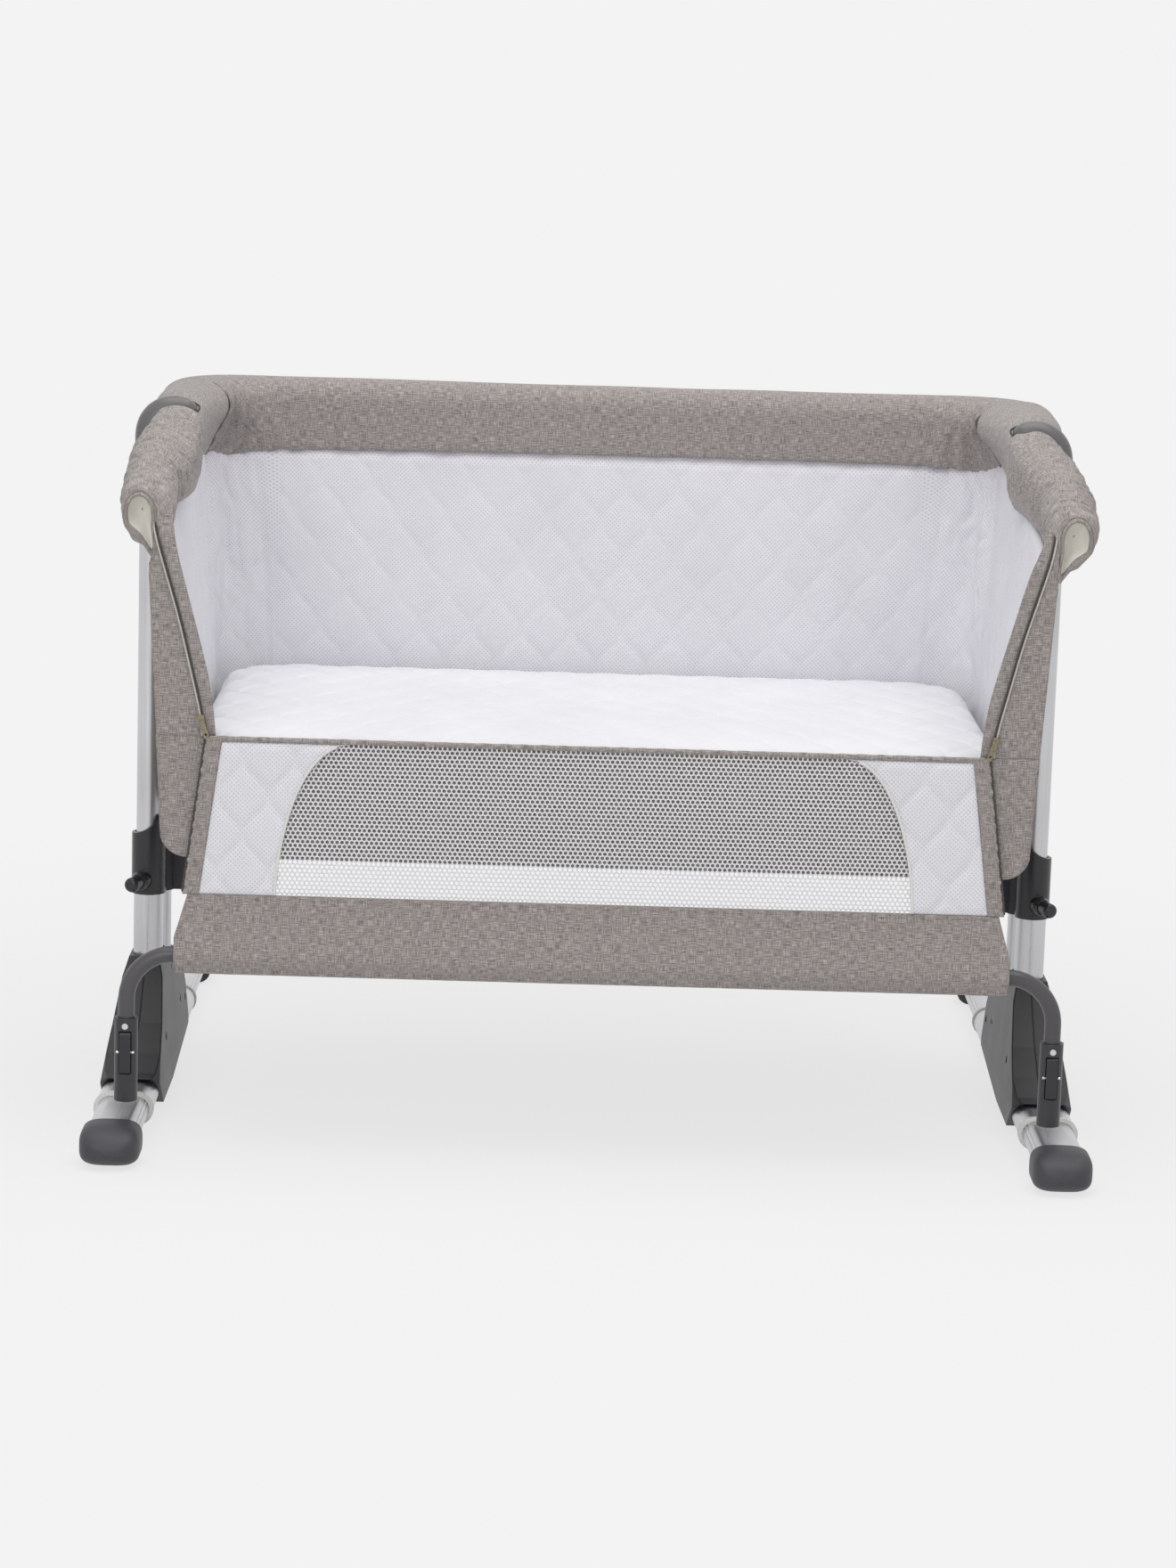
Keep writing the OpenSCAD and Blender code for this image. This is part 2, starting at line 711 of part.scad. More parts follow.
module base_board() {
    color(board_colour) translate([0, 0, board_z]) linear_extrude(board_t)
        rounded_plate(-mattress_x - lining_t - 1, mattress_x + lining_t + 1, -mattress_front + 2,
                      mattress_rear + lining_t, 55);
}

module mattress_slice(z, inset) {
    translate([0, 0, mattress_z + z]) linear_extrude(0.5)
        rounded_plate(-mattress_x + inset, mattress_x - inset, -mattress_front + inset,
                      mattress_rear - inset, 62, $fn = 32);
}

module mattress() {
    color(quilt) hull() {
        mattress_slice(0, 9);
        mattress_slice(5, 3);
        mattress_slice(mattress_t * 0.42, 0);
        mattress_slice(mattress_t * 0.6, 0);
        mattress_slice(mattress_t - 6, 4);
        mattress_slice(mattress_t - 0.5, 14);
        mattress_slice(mattress_t + mattress_crown * 0.7, 70);
        mattress_slice(mattress_t + mattress_crown - 0.5, 140);
    }
}

// Padded sleeves over the rail: x points outwards from the bed, y is up
function teardrop(r, drop, half) = concat(
    [for (i = [0 : 22]) r * [cos(10 * i - 20), sin(10 * i - 20)]], [[-half, -drop], [half, -drop]]);

module sleeve_section(r) { polygon(teardrop(r, sleeve_drop, 5)); }

module sleeve_bore() { circle(r = (rail_d / 2 + crimp + soft_gap) / cos(15), $fn = 12); }

module mouth_bore() { polygon(teardrop(sleeve_r - sleeve_t, sleeve_drop - 9, 1)); }

// Runs a sleeve profile between two points of the rail, kept upright
module sleeve_run(p, q, over) {
    d = unit(q - p);
    out = unit(cross([0, 0, 1], d));
    up = cross(d, out);
    multmatrix(frame(out, up, d, p - d * over)) linear_extrude(norm(q - p) + 2 * over) children();
}

module below_dip_plane() {
    n = unit(arm_dir + dip_dir);
    x = any_normal(n);
    w = rail_z / 4;
    multmatrix(frame(x, cross(n, x), n, rail_dip)) translate([-w, -w, 0]) cube([2 * w, 2 * w, 3 * w]);
}

module side_sleeve() {
    color(melange) difference() {
        union() {
            difference() {
                sleeve_run(arm_start, rail_dip, 20) sleeve_section(sleeve_r);
                below_dip_plane();
            }
            intersection() {
                sleeve_run(rail_dip - dip_dir * 40, mouth, 0) sleeve_section(sleeve_r);
                below_dip_plane();
            }
        }
        translate([0, arm_start[1] - 0.05, 0]) cube([big, 200, big]);
        sleeve_run(arm_start, rail_dip, 3) sleeve_bore();
        sleeve_run(rail_dip, mouth, 3) sleeve_bore();
        sleeve_run(rail_end - dip_dir * 4, mouth + dip_dir, 0) mouth_bore();
        translate([elbow_at[0] - 17, elbow_y - 19, rail_z - 17]) cube([80, 38, 80]);
        translate([post_x - socket_r - 2, post_y - 20, rail_z - 80]) cube([80, 40, 80]);
        translate([0, -big / 2 + mouth_y, 0]) cube([big, big, big], center = true);
    }
}

module back_sleeve() {
    side = rail_x_back - rail_bend;
    color(melange) difference() {
        union() {
            along_x(-side, side) translate([rail_back, rail_z]) sleeve_section(sleeve_r + 3);
            for (s = [0, 1]) mirror([s, 0, 0]) translate([side, rail_back - rail_bend, rail_z])
                rotate_extrude(angle = 90) translate([rail_bend, 0]) sleeve_section(sleeve_r + 3);
        }
        along_x(-side, side) translate([rail_back, rail_z]) sleeve_bore();
        for (s = [0, 1]) mirror([s, 0, 0]) translate([side, rail_back - rail_bend, rail_z])
            rotate_extrude(angle = 90) translate([rail_bend, 0]) sleeve_bore();
    }
}

// Cloth body

function body_x(z) = body_x_low + (body_x_top - body_x_low) * (z - base_z) / (mouth_z - base_z);

function low_corner(r, turns) = [for (a = turns)
    [body_x_low - body_round + r * sin(a), body_z + body_round - r * cos(a)]];

module side_skin() {
    low = body_x_low - body_round - tab_w;
    top = body_x(rail_z);
    polygon(concat([[low, body_z]], low_corner(body_round, [0 : 7.5 : 90]),
                   [[top, rail_z], [top - cloth_t, rail_z]],
                   low_corner(body_round - cloth_t, [90 : -7.5 : 0]), [[low, body_z + cloth_t]]));
}

// Width of the part of the side wall that lies flat under the base frame
tab_w = 8;
seam_gap = soft_gap + 0.1;
// Slope of the rail from its dip to the sleeve mouths, and the sleeve's seam under it
dip_slope = (rail_z - mouth_z) / (dip_y - mouth_y);
seam_dip_y = dip_y + sleeve_drop * (sqrt(1 + dip_slope * dip_slope) - 1) / dip_slope;
seam_rear = rail_z - sleeve_drop - seam_gap;
function seam_front(y) = mouth_z + dip_slope * (y - mouth_y)
    - sleeve_drop * sqrt(1 + dip_slope * dip_slope) - 2 * seam_gap;

// Cuts the slot in which a bracket passes through the cloth
module bracket_slot() {
    translate([base_x - base_d / 2 - 12, tube_y - web_t / 2 - soft_gap, body_z - 5])
        cube([90, web_t + 2 * soft_gap, body_round + 5]);
}

// Side view of what hangs from a side sleeve, lowered by drop under the seam
module under_sleeve(drop) {
    polygon([[-body_front, body_z - 1], [body_rear, body_z - 1], [body_rear, seam_rear - drop],
             [seam_dip_y, seam_rear - drop], [-body_front, seam_front(-body_front) - drop]]);
}

module side_wall() {
    color(melange) difference() {
        intersection() {
            along_y(-body_front + cloth_t, body_rear) side_skin();
            along_x(0, big) under_sleeve(0);
        }
        bracket_slot();
    }
}

module back_wall() {
    color(melange) along_y(body_rear, body_rear + cloth_t) polygon([
        [-body_x_low + body_round, body_z], [body_x_low - body_round, body_z],
        [body_x_low - 8, body_z + 8], [body_x_low, body_z + body_round],
        [body_x(rail_z - sleeve_drop), rail_z - sleeve_drop - seam_gap],
        [-body_x(rail_z - sleeve_drop), rail_z - sleeve_drop - seam_gap],
        [-body_x_low, body_z + body_round], [-body_x_low + 8, body_z + 8]
    ]);
}

module floor_cloth() {
    x = body_x_low - body_round - tab_w;
    color(melange) difference() {
        translate([-x, -body_front + cloth_t, body_z])
            cube([2 * x, body_front - cloth_t + body_rear, cloth_t]);
        for (s = [0, 1]) mirror([s, 0, 0]) bracket_slot();
    }
}

module front_fascia() {
    color(melange) along_y(-body_front, -body_front + cloth_t) polygon([
        [-body_x_low + body_round, body_z], [body_x_low - body_round, body_z],
        [body_x_low - 8, body_z + 8], [body_x_low, body_z + body_round],
        [body_x(fascia_top), fascia_top], [-body_x(fascia_top), fascia_top],
        [-body_x_low, body_z + body_round], [-body_x_low + 8, body_z + 8]
    ]);
}

// Lower and upper end of the zip line, and how far the gusset's edge sags between them
zip_low = [panel_top_x + 4, fascia_top + 11.6];
zip_high = [mouth_x - 18.6, mouth_z - 49];
zip_sag = 6;
gusset_top = zip_high[1] + 17;

function zip_edge(t) = zip_low + (zip_high + [-8.4, 17] - zip_low) * t
    + [4.5 * (1 - t) - zip_sag * sin(180 * t), 0];

module front_gussets() {
    color(melange) for (s = [0, 1]) mirror([s, 0, 0])
        along_y(-body_front, -body_front + cloth_t) polygon(concat(
            [[body_x(fascia_top), fascia_top], [body_x(zip_high[1]), zip_high[1]],
             [zip_high[0] - 2, zip_high[1]], [zip_high[0] - 2, gusset_top]],
            [for (i = [4 : -1 : 0]) zip_edge(i / 4)], [[zip_edge(0)[0], fascia_top]]
        ));
}

// The lining leans outwards with the walls
function lining_in(z) = mattress_x + soft_gap + body_x(z) - body_x(mattress_z);

module lining_side() {
    top = rail_z - sleeve_drop;
    color(quilt) intersection() {
        along_y(-mattress_front, mattress_rear - 3) polygon([
            [lining_in(mattress_z), mattress_z], [lining_in(mattress_z) + lining_t, mattress_z],
            [lining_in(top) + lining_t, top], [lining_in(top), top]
        ]);
        along_x(0, big) under_sleeve(1.6);
    }
}

module lining_back() {
    top = rail_z - sleeve_drop - seam_gap;
    color(quilt) along_y(mattress_rear + soft_gap, mattress_rear + soft_gap + lining_t) polygon([
        [-lining_in(mattress_z), mattress_z], [lining_in(mattress_z), mattress_z],
        [lining_in(top), top], [-lining_in(top), top]
    ]);
}

// Lowered front panel

window_z0 = hem_top - 6;
window_z1 = panel_top;
panel_y = hinge_y - panel_t / 2;

function window_edge(n, grow) = [for (i = [0 : n])
    [window_top_x - 3 + (window_low_x - window_top_x + 3 + grow) * cos(90 * i / n),
     window_z0 - 8 + (window_z1 - window_z0 + 8 + grow) * sin(90 * i / n)]];
function edge_x(z) = panel_top_x
    + (panel_hem_x - panel_top_x) * (panel_top - z) / (panel_top - hem_top);

module window_shape(grow) {
    right = window_edge(16, grow);
    left = [for (i = [16 : -1 : 0]) [-right[i][0], right[i][1]]];
    polygon(concat(right, left));
}

module panel_face() {
    inset = binding_w;
    polygon([[-edge_x(hem_top) + inset, hem_top], [edge_x(hem_top) - inset, hem_top],
             [edge_x(panel_top) - inset, panel_top], [-edge_x(panel_top) + inset, panel_top]]);
}

module panel_wings() {
    color(quilt) along_y(panel_y, panel_y + panel_t) difference() {
        panel_face();
        window_shape(0);
        translate([-window_top_x + 3, hem_top - 1])
            square([2 * window_top_x - 6, panel_top - hem_top + 2]);
    }
}

module mesh_window() {
    rows = floor((window_z1 - hem_top) / (mesh_pitch / 2));
    cols = floor(2 * window_low_x / mesh_pitch);
    half = mesh_pitch / 2 - strand / 2;
    color(white) along_y(panel_y + 1, panel_y + 1 + mesh_t) difference() {
        intersection() {
            window_shape(-0.1);
            translate([-big / 2, hem_top]) square([big, panel_top - hem_top]);
        }
        for (row = [1 : rows - 1], col = [0 : cols]) {
            z = hem_top + row * mesh_pitch / 2;
            x = (col - cols / 2 + (row % 2) / 2) * mesh_pitch;
            if (abs(x) < window_half(z) - mesh_pitch * 0.7 && z < window_z1 - mesh_pitch * 0.4)
                translate([x, z]) polygon([[-half, 0], [0, -half / 2], [half, 0], [0, half / 2]]);
        }
    }
}

function window_half(z) = window_top_x - 3 + (window_low_x - window_top_x + 3)
    * sqrt(max(0, 1 - pow((z - window_z0 + 8) / (window_z1 - window_z0 + 8), 2)));

module window_piping() {
    color(white) along_y(panel_y - 1.6, panel_y - 0.05) difference() {
        intersection() {
            window_shape(3);
            translate([-big / 2, hem_top]) square([big, panel_top - 1 - hem_top]);
        }
        window_shape(-1);
        translate([-window_top_x + 3, 0]) square([2 * window_top_x - 6, big]);
    }
}

module panel_hem() {
    r = bar_d / 2 + 3.6;
    color(melange) difference() {
        along_x(-panel_low_x, panel_low_x) difference() {
            union() {
                translate([bar_y, bar_z]) circle(r = r);
                polygon([[bar_y - r * 0.94, bar_z + r * 0.342], [bar_y + r * 0.94, bar_z + r * 0.342],
                         [bar_y + panel_t / 2 + 0.5, hem_top], [bar_y - panel_t / 2 - 0.5, hem_top]]);
                polygon([[bar_y - r * 0.94, bar_z - r * 0.342], [bar_y - 2.5, hem_low],
                         [bar_y + 2.5, hem_low], [bar_y + r * 0.94, bar_z - r * 0.342]]);
            }
            translate([bar_y, bar_z]) circle(r = bar_d / 2 + 0.6);
        }
        for (s = [0, 1]) mirror([s, 0, 0]) along_y(-big / 2, 0) polygon([
            [panel_hem_x, hem_top + 1], [panel_low_x, hem_low + 40], [panel_low_x + 20, hem_low + 40],
            [panel_low_x + 20, hem_top + 1]
        ]);
    }
}

module panel_bindings() {
    color(melange) {
        for (s = [0, 1]) mirror([s, 0, 0]) along_y(panel_y - 0.6, panel_y + panel_t + 0.6) polygon([
            [edge_x(hem_top) - binding_w, hem_top + 0.05], [edge_x(hem_top), hem_top + 0.05],
            [panel_top_x, hinge_z], [panel_top_x - binding_w, hinge_z]
        ]);
        rod([-panel_top_x, hinge_y, hinge_z], [panel_top_x, hinge_y, hinge_z], seam_r);
    }
}

// Front rail bar with its plug-in connectors

bar_flat = bar_x - bar_bend;
bar_leg_end = conn_z + conn_len - 12;
button_z = conn_z + 48.5;
button_front = bar_y - conn_d / 2 - 1.5;
rocker_y = button_front + 5;

module bar_path(r, extra) {
    bent_rod([[-bar_x, bar_y, bar_leg_end - extra], [-bar_x, bar_y, bar_z], [bar_x, bar_y, bar_z],
              [bar_x, bar_y, bar_leg_end - extra]], [bar_bend, bar_bend], r);
}

module front_bar() {
    color(painted) difference() {
        bar_path(bar_d / 2, 0);
        bar_path(bar_d / 2 - rail_wall, 1);
        for (s = [-1, 1]) translate([s * bar_x, bar_y, conn_z + conn_len - 7]) rotate([90, 0, 0])
            cylinder(h = bar_d + 2, r = 2 + slide_fit, center = true);
    }
}

module connector_hole() {
    translate([bar_x, bar_y, 0]) {
        translate([0, 0, bar_leg_end - slide_fit]) cylinder(h = 40, r = bar_d / 2 + slide_fit);
        translate([0, 0, conn_z - 1]) cylinder(h = socket_len + 1, r = rail_d / 2 + slide_fit);
    }
    translate([bar_x, bar_y, conn_z + conn_len - 7]) rotate([90, 0, 0])
        cylinder(h = conn_d + 2, r = 2 + slide_fit, center = true);
    translate([bar_x - button_w / 2 - 0.5, button_front - 1, button_z - button_len / 2 - 1])
        cube([button_w + 1, button_t + 6.5, button_len + 2]);
    translate([bar_x, rocker_y, button_z]) rotate([0, 90, 0])
        cylinder(h = conn_d + 2, r = rocker_pin_d / 2 + slide_fit, center = true);
}

module connectors() {
    color(painted) for (s = [0, 1]) mirror([s, 0, 0]) difference() {
        translate([bar_x, bar_y, conn_z]) cylinder(h = conn_len, r = conn_d / 2);
        connector_hole();
    }
}

module connector_pins() {
    color(silver) for (s = [0, 1]) mirror([s, 0, 0]) {
        translate([bar_x, bar_y, conn_z + conn_len - 7]) rotate([90, 0, 0])
            cylinder(h = conn_d + 0.6, r = 2, center = true);
        translate([bar_x, bar_y - conn_d / 2 - 0.3, conn_z + conn_len - 7]) rotate([90, 0, 0])
            cylinder(h = 0.8, r = 3);
        translate([bar_x, rocker_y, button_z]) rotate([0, 90, 0])
            cylinder(h = conn_d - 5, r = rocker_pin_d / 2, center = true);
    }
}

module rocker() {
    color(plastic) difference() {
        translate([bar_x - button_w / 2, 0, button_z]) along_x(0, button_w) {
            translate([button_front, -button_len / 2 + 1]) square([button_t, button_len - 2]);
            translate([button_front + 1, -button_len / 2]) square([button_t - 1, button_len]);
        }
        translate([bar_x, rocker_y, button_z]) rotate([0, 90, 0])
            cylinder(h = 40, r = rocker_pin_d / 2 + slide_fit, center = true);
    }
}

// Zip slider with its pull tab, in front of the gusset
module zip_slider() {
    lean = atan2(zip_high[0] - zip_low[0], zip_high[1] - zip_low[1]);
    color(brass) translate([zip_low[0] + 4.5, 0, zip_low[1] + 4]) rotate([0, lean, 0]) {
        along_y(-body_front - 4, -body_front - soft_gap)
            polygon([[-3.5, 5], [3.5, 5], [2.5, -5], [-2.5, -5]]);
        along_y(-body_front - 5.6, -body_front - 4) difference() {
            union() {
                translate([0, -2]) circle(r = 2.6);
                translate([-2.6, -16]) square([5.2, 14]);
                translate([0, -16]) circle(r = 2.6);
            }
            translate([0, -14]) circle(r = 1.2);
        }
    }
}

placed() top_rail();
placed() left_side() elbow();  // elbow_left
placed() elbow();  // elbow_right
placed() left_side() upper_post();  // upper_post_left
placed() upper_post();  // upper_post_right
placed() left_side() slide_tube();  // slide_tube_left
placed() slide_tube();  // slide_tube_right
placed() left_side() bracket();  // bracket_left
placed() bracket();  // bracket_right
placed() bracket_bolts();
placed() base_frame();
placed() base_board();
placed() mattress();
placed() back_sleeve();
placed() left_side() side_sleeve();  // side_sleeve_left
placed() side_sleeve();  // side_sleeve_right
placed() back_wall();
placed() left_side() side_wall();  // side_wall_left
placed() side_wall();  // side_wall_right
placed() floor_cloth();
placed() front_fascia();
placed() front_gussets();
placed() lining_back();
placed() left_side() lining_side();  // lining_left
placed() lining_side();  // lining_right
placed() panel_wings();
placed() mesh_window();
placed() window_piping();
placed() panel_hem();
placed() panel_bindings();
placed() front_bar();
placed() connectors();
placed() connector_pins();
placed() left_side() rocker();  // rocker_left
placed() rocker();  // rocker_right
placed() left_side() zip_slider();  // zip_slider_left
placed() zip_slider();  // zip_slider_right
placed() left_side() hub_outer();  // hub_outer_left
placed() left_side() hub_inner();  // hub_inner_left
placed() left_side() lower_post();  // lower_post_left
placed() left_side() collar();  // collar_left
placed() left_side() foot_tube();  // foot_tube_left
placed() left_side() foot_rings();  // foot_rings_left
placed() left_side() pull_pin();  // pull_pin_left
placed() left_side() front_foot();  // front_foot_left
placed() left_side() front_cap();  // front_cap_left
placed() left_side() rear_foot();  // rear_foot_left
placed() left_side() rear_cap();  // rear_cap_left
placed() hub_outer();  // hub_outer_right
placed() hub_inner();  // hub_inner_right
placed() lower_post();  // lower_post_right
placed() collar();  // collar_right
placed() foot_tube();  // foot_tube_right
placed() foot_rings();  // foot_rings_right
placed() pull_pin();  // pull_pin_right
placed() front_foot();  // front_foot_right
placed() front_cap();  // front_cap_right
placed() rear_foot();  // rear_foot_right
placed() rear_cap();  // rear_cap_right
placed() hub_screws();
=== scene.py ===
import math

import bpy
import numpy as np
from mathutils import Matrix, Vector


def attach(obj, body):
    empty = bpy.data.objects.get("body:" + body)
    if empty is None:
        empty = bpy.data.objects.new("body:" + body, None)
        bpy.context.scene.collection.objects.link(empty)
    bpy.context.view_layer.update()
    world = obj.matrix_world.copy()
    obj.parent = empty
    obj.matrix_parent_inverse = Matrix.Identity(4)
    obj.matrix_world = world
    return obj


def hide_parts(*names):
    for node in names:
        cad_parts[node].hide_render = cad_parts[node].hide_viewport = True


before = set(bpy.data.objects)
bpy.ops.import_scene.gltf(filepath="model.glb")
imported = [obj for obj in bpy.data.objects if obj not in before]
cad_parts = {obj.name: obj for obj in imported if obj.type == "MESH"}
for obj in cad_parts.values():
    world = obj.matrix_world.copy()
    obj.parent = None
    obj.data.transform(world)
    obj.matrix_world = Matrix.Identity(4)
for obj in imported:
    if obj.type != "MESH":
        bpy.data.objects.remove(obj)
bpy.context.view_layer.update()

scene = bpy.context.scene

# The frame's origin lies under the middle of the feet. Places are drawn here from a line
# beside the posts, and moved back by this much.
set_back = -0.064

# Camera. It stands where the photographer stood, four metres in front of the open
# side and a metre up, with a long lens, looking a little down and slightly rolled.
photo_height = 1760
focal_pixels = 4492.68
sensor = 36
yaw, pitch, roll = (math.radians(turn) for turn in (0.536, 10.549, -1.743))
ahead = Vector((math.sin(yaw) * math.cos(pitch), math.cos(yaw) * math.cos(pitch), -math.sin(pitch)))
right = Vector((math.cos(yaw), -math.sin(yaw), 0))
down = ahead.cross(right)
rolled_right = right * math.cos(roll) + down * math.sin(roll)
rolled_down = down * math.cos(roll) - right * math.sin(roll)
lens = bpy.data.cameras.new("photographer")
lens.sensor_width = sensor
lens.sensor_fit = "AUTO"
lens.lens = focal_pixels / photo_height * sensor
camera = bpy.data.objects.new("photographer", lens)
camera.matrix_world = Matrix((rolled_right, -rolled_down, -ahead)).transposed().to_4x4()
camera.location = (-0.04387, -4.01547 + set_back, 1.07122)
scene.collection.objects.link(camera)
scene.camera = camera
scene.view_settings.view_transform = "Standard"


class Wire:
    """One value inside a material. Sums on it in Python add its Math nodes."""

    def __init__(self, finish, socket):
        self.finish = finish
        self.socket = socket

    def __add__(self, other):
        return self.finish.math("ADD", self, other)

    def __sub__(self, other):
        return self.finish.math("SUBTRACT", self, other)

    def __rsub__(self, other):
        return self.finish.math("SUBTRACT", other, self)

    def __mul__(self, other):
        return self.finish.math("MULTIPLY", self, other)

    __radd__ = __add__
    __rmul__ = __mul__


class Finish:
    """A surface finish. Its nodes are made in the order in which they are written."""

    def __init__(self, name="", owner=None):
        self.owner = owner or bpy.data.materials.new(name)
        self.owner.use_nodes = True
        self.tree = self.owner.node_tree
        self.tree.nodes.clear()

    def node(self, kind, settings=None, values=None, out=0):
        made = self.tree.nodes.new(kind)
        for key, value in (settings or {}).items():
            if key == "stops":
                ramp = made.color_ramp.elements
                while len(ramp) < len(value):
                    ramp.new(0.5)
                for stop, (place, colour) in zip(ramp, value):
                    stop.position = place
                    stop.color = colour
            else:
                setattr(made, key, value)
        for key, value in (values or {}).items():
            if isinstance(value, Wire):
                self.tree.links.new(value.socket, made.inputs[key])
            else:
                made.inputs[key].default_value = value
        return Wire(self, made.outputs[out]) if made.outputs else None

    def math(self, operation, first, second=0.0):
        return self.node("ShaderNodeMath", {"operation": operation}, {0: first, 1: second})

    def stretch(self, place, sizes):
        return self.node("ShaderNodeVectorMath", {"operation": "MULTIPLY"}, {0: place, 1: sizes})

    def place(self):
        return self.node("ShaderNodeTexCoord", out="Object")

    def cloth_place(self):
        return self.node("ShaderNodeUVMap", {"uv_map": "cloth"})

    def noise(self, place, scale, detail=2.0, roughness=0.5):
        return self.node("ShaderNodeTexNoise", values={
            "Vector": place, "Scale": scale, "Detail": detail, "Roughness": roughness}, out="Fac")

    def ramp(self, fac, *stops):
        return self.node("ShaderNodeValToRGB", {"stops": stops}, {"Fac": fac})

    def blend(self, fac, first, second):
        return self.node("ShaderNodeMix", {"data_type": "RGBA"}, {0: fac, 6: first, 7: second}, out=2)

    def surface(self, colour, roughness, height, depth, edge=0.0, constants=None):
        """Closes a finish. depth is its grain's, and edge the radius that its edges seem to have."""
        bump = {"Height": height, "Distance": depth, "Strength": 1.0}
        if edge:
            bump["Normal"] = self.node("ShaderNodeBevel", {"samples": 6}, {"Radius": edge}, out="Normal")
        normal = self.node("ShaderNodeBump", values=bump, out="Normal")
        values = {"Base Color": colour, "Roughness": roughness, "Normal": normal, **(constants or {})}
        shader = self.node("ShaderNodeBsdfPrincipled", values=values)
        self.node("ShaderNodeOutputMaterial", values={"Surface": shader})
        return self.owner


def ink(red, green, blue):
    """A colour as the eye reads it, 0 to 255, as the light it gives back."""
    shares = [value / 255 for value in (red, green, blue)]
    return (*[share / 12.92 if share <= 0.04045 else ((share + 0.055) / 1.055) ** 2.4
              for share in shares], 1.0)


# Studio. A plain pale floor runs back out of sight, under one wide soft box overhead,
# a softer one beside the camera and an even pale room.
backdrop_ink = ink(243, 243, 243)
floor_finish = Finish("studio_floor")
seen = floor_finish.node("ShaderNodeLightPath", out="Is Camera Ray")
mirrored = floor_finish.node("ShaderNodeLightPath", out="Is Glossy Ray")
through = floor_finish.node("ShaderNodeLightPath", out="Is Transmission Ray")
lit = floor_finish.node("ShaderNodeBsdfDiffuse", values={"Color": ink(238, 238, 238)})
glow = floor_finish.node("ShaderNodeEmission", values={"Color": backdrop_ink, "Strength": 1.0})
floor_reach = floor_finish.node("ShaderNodeVectorMath", {"operation": "LENGTH"},
                                {0: floor_finish.place()}, out="Value")
far = floor_finish.node("ShaderNodeMapRange", {"interpolation_type": "SMOOTHSTEP"}, {
    "Value": floor_reach, "From Min": 0.5, "From Max": 1.5, "To Min": 0.8, "To Max": 1.0}, "Result")
floor_mix = floor_finish.node("ShaderNodeMixShader", values={
    0: (seen + mirrored + through) * far, 1: lit, 2: glow})
floor_finish.node("ShaderNodeOutputMaterial", values={"Surface": floor_mix})
floor_mesh = bpy.data.meshes.new("floor")
floor_mesh.from_pydata([(-30, -12, 0), (30, -12, 0), (30, 60, 0), (-30, 60, 0)], [], [(0, 1, 2, 3)])
floor_mesh.materials.append(floor_finish.owner)
floor = bpy.data.objects.new("floor", floor_mesh)
scene.collection.objects.link(floor)

scene.world = bpy.data.worlds.new("room")
room_finish = Finish(owner=scene.world)
room_seen = room_finish.node("ShaderNodeLightPath", out="Is Camera Ray")
room_mirrored = room_finish.node("ShaderNodeLightPath", out="Is Glossy Ray")
room_lit = room_finish.node("ShaderNodeBackground", values={"Color": (1, 1, 1, 1), "Strength": 0.5})
room_shown = room_finish.node("ShaderNodeBackground", values={"Color": backdrop_ink, "Strength": 1.0})
room_mix = room_finish.node("ShaderNodeMixShader", values={
    0: room_finish.math("MINIMUM", room_seen + room_mirrored, 1.0), 1: room_lit, 2: room_shown})
room_finish.node("ShaderNodeOutputWorld", values={"Surface": room_mix})

for box_name, size, power, place, aim in (
        ("overhead", 2.6, 41, (0.1, -0.41, 2.6), (0, -0.06, 0.4)),
        ("front_box", 2.2, 24, (-0.9, -3.46, 1.7), (0, -0.06, 0.4))):
    soft_box = bpy.data.lights.new(box_name, "AREA")
    soft_box.shape = "SQUARE"
    soft_box.size = size
    soft_box.energy = power
    holder = bpy.data.objects.new(box_name, soft_box)
    holder.location = place
    holder.rotation_euler = (Vector(aim) - Vector(place)).to_track_quat("-Z", "Y").to_euler()
    scene.collection.objects.link(holder)

# Feet. Each leg stands on an oval aluminium tube, from which two flatter tubes slide
# out through white plastic rings and end in dark rubber caps.


def dress(finish, *names):
    """Gives CAD nodes their finish."""
    for name in names:
        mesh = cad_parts[name].data
        mesh.materials.clear()
        mesh.materials.append(finish)


def both(*names):
    return [f"{name}_{side}" for name in names for side in ("left", "right")]


def grained(name, dark, light, scale, roughness, depth, spread=0.1, edge=0.0,
            constants=None, low=0.3, detail=3.0):
    """An even finish with one fine grain in its colour, its gloss and its surface."""
    finish = Finish(name)
    grain = finish.noise(finish.place(), scale, detail)
    colour = finish.ramp(grain, (low, dark), (1 - low, light))
    return finish.surface(colour, roughness + grain * spread, grain, depth, edge, constants)


def satin_aluminium(name, grain):
    """Anodised aluminium, drawn out along the axis where grain is small."""
    finish = Finish(name)
    place = finish.place()
    streaks = finish.noise(finish.stretch(place, grain), 1.0, 3.0, 0.6)
    clouds = finish.noise(place, 9.0, 2.0)
    colour = finish.ramp(streaks * 0.5 + clouds * 0.5, (0.3, ink(186, 186, 189)), (0.7, ink(212, 212, 214)))
    return finish.surface(colour, 0.22 + streaks * 0.14, streaks, 0.00002, 0.0005, {"Metallic": 1.0})


foot_metal = satin_aluminium("foot_aluminium", (900, 12, 900))
dress(foot_metal, *both("foot_tube", "front_foot", "rear_foot"))

ring_plastic = grained("ring_plastic", ink(222, 222, 218), ink(232, 232, 229), 500.0, 0.35, 0.00004,
                       edge=0.001, low=0.2)
dress(ring_plastic, *both("foot_rings"))

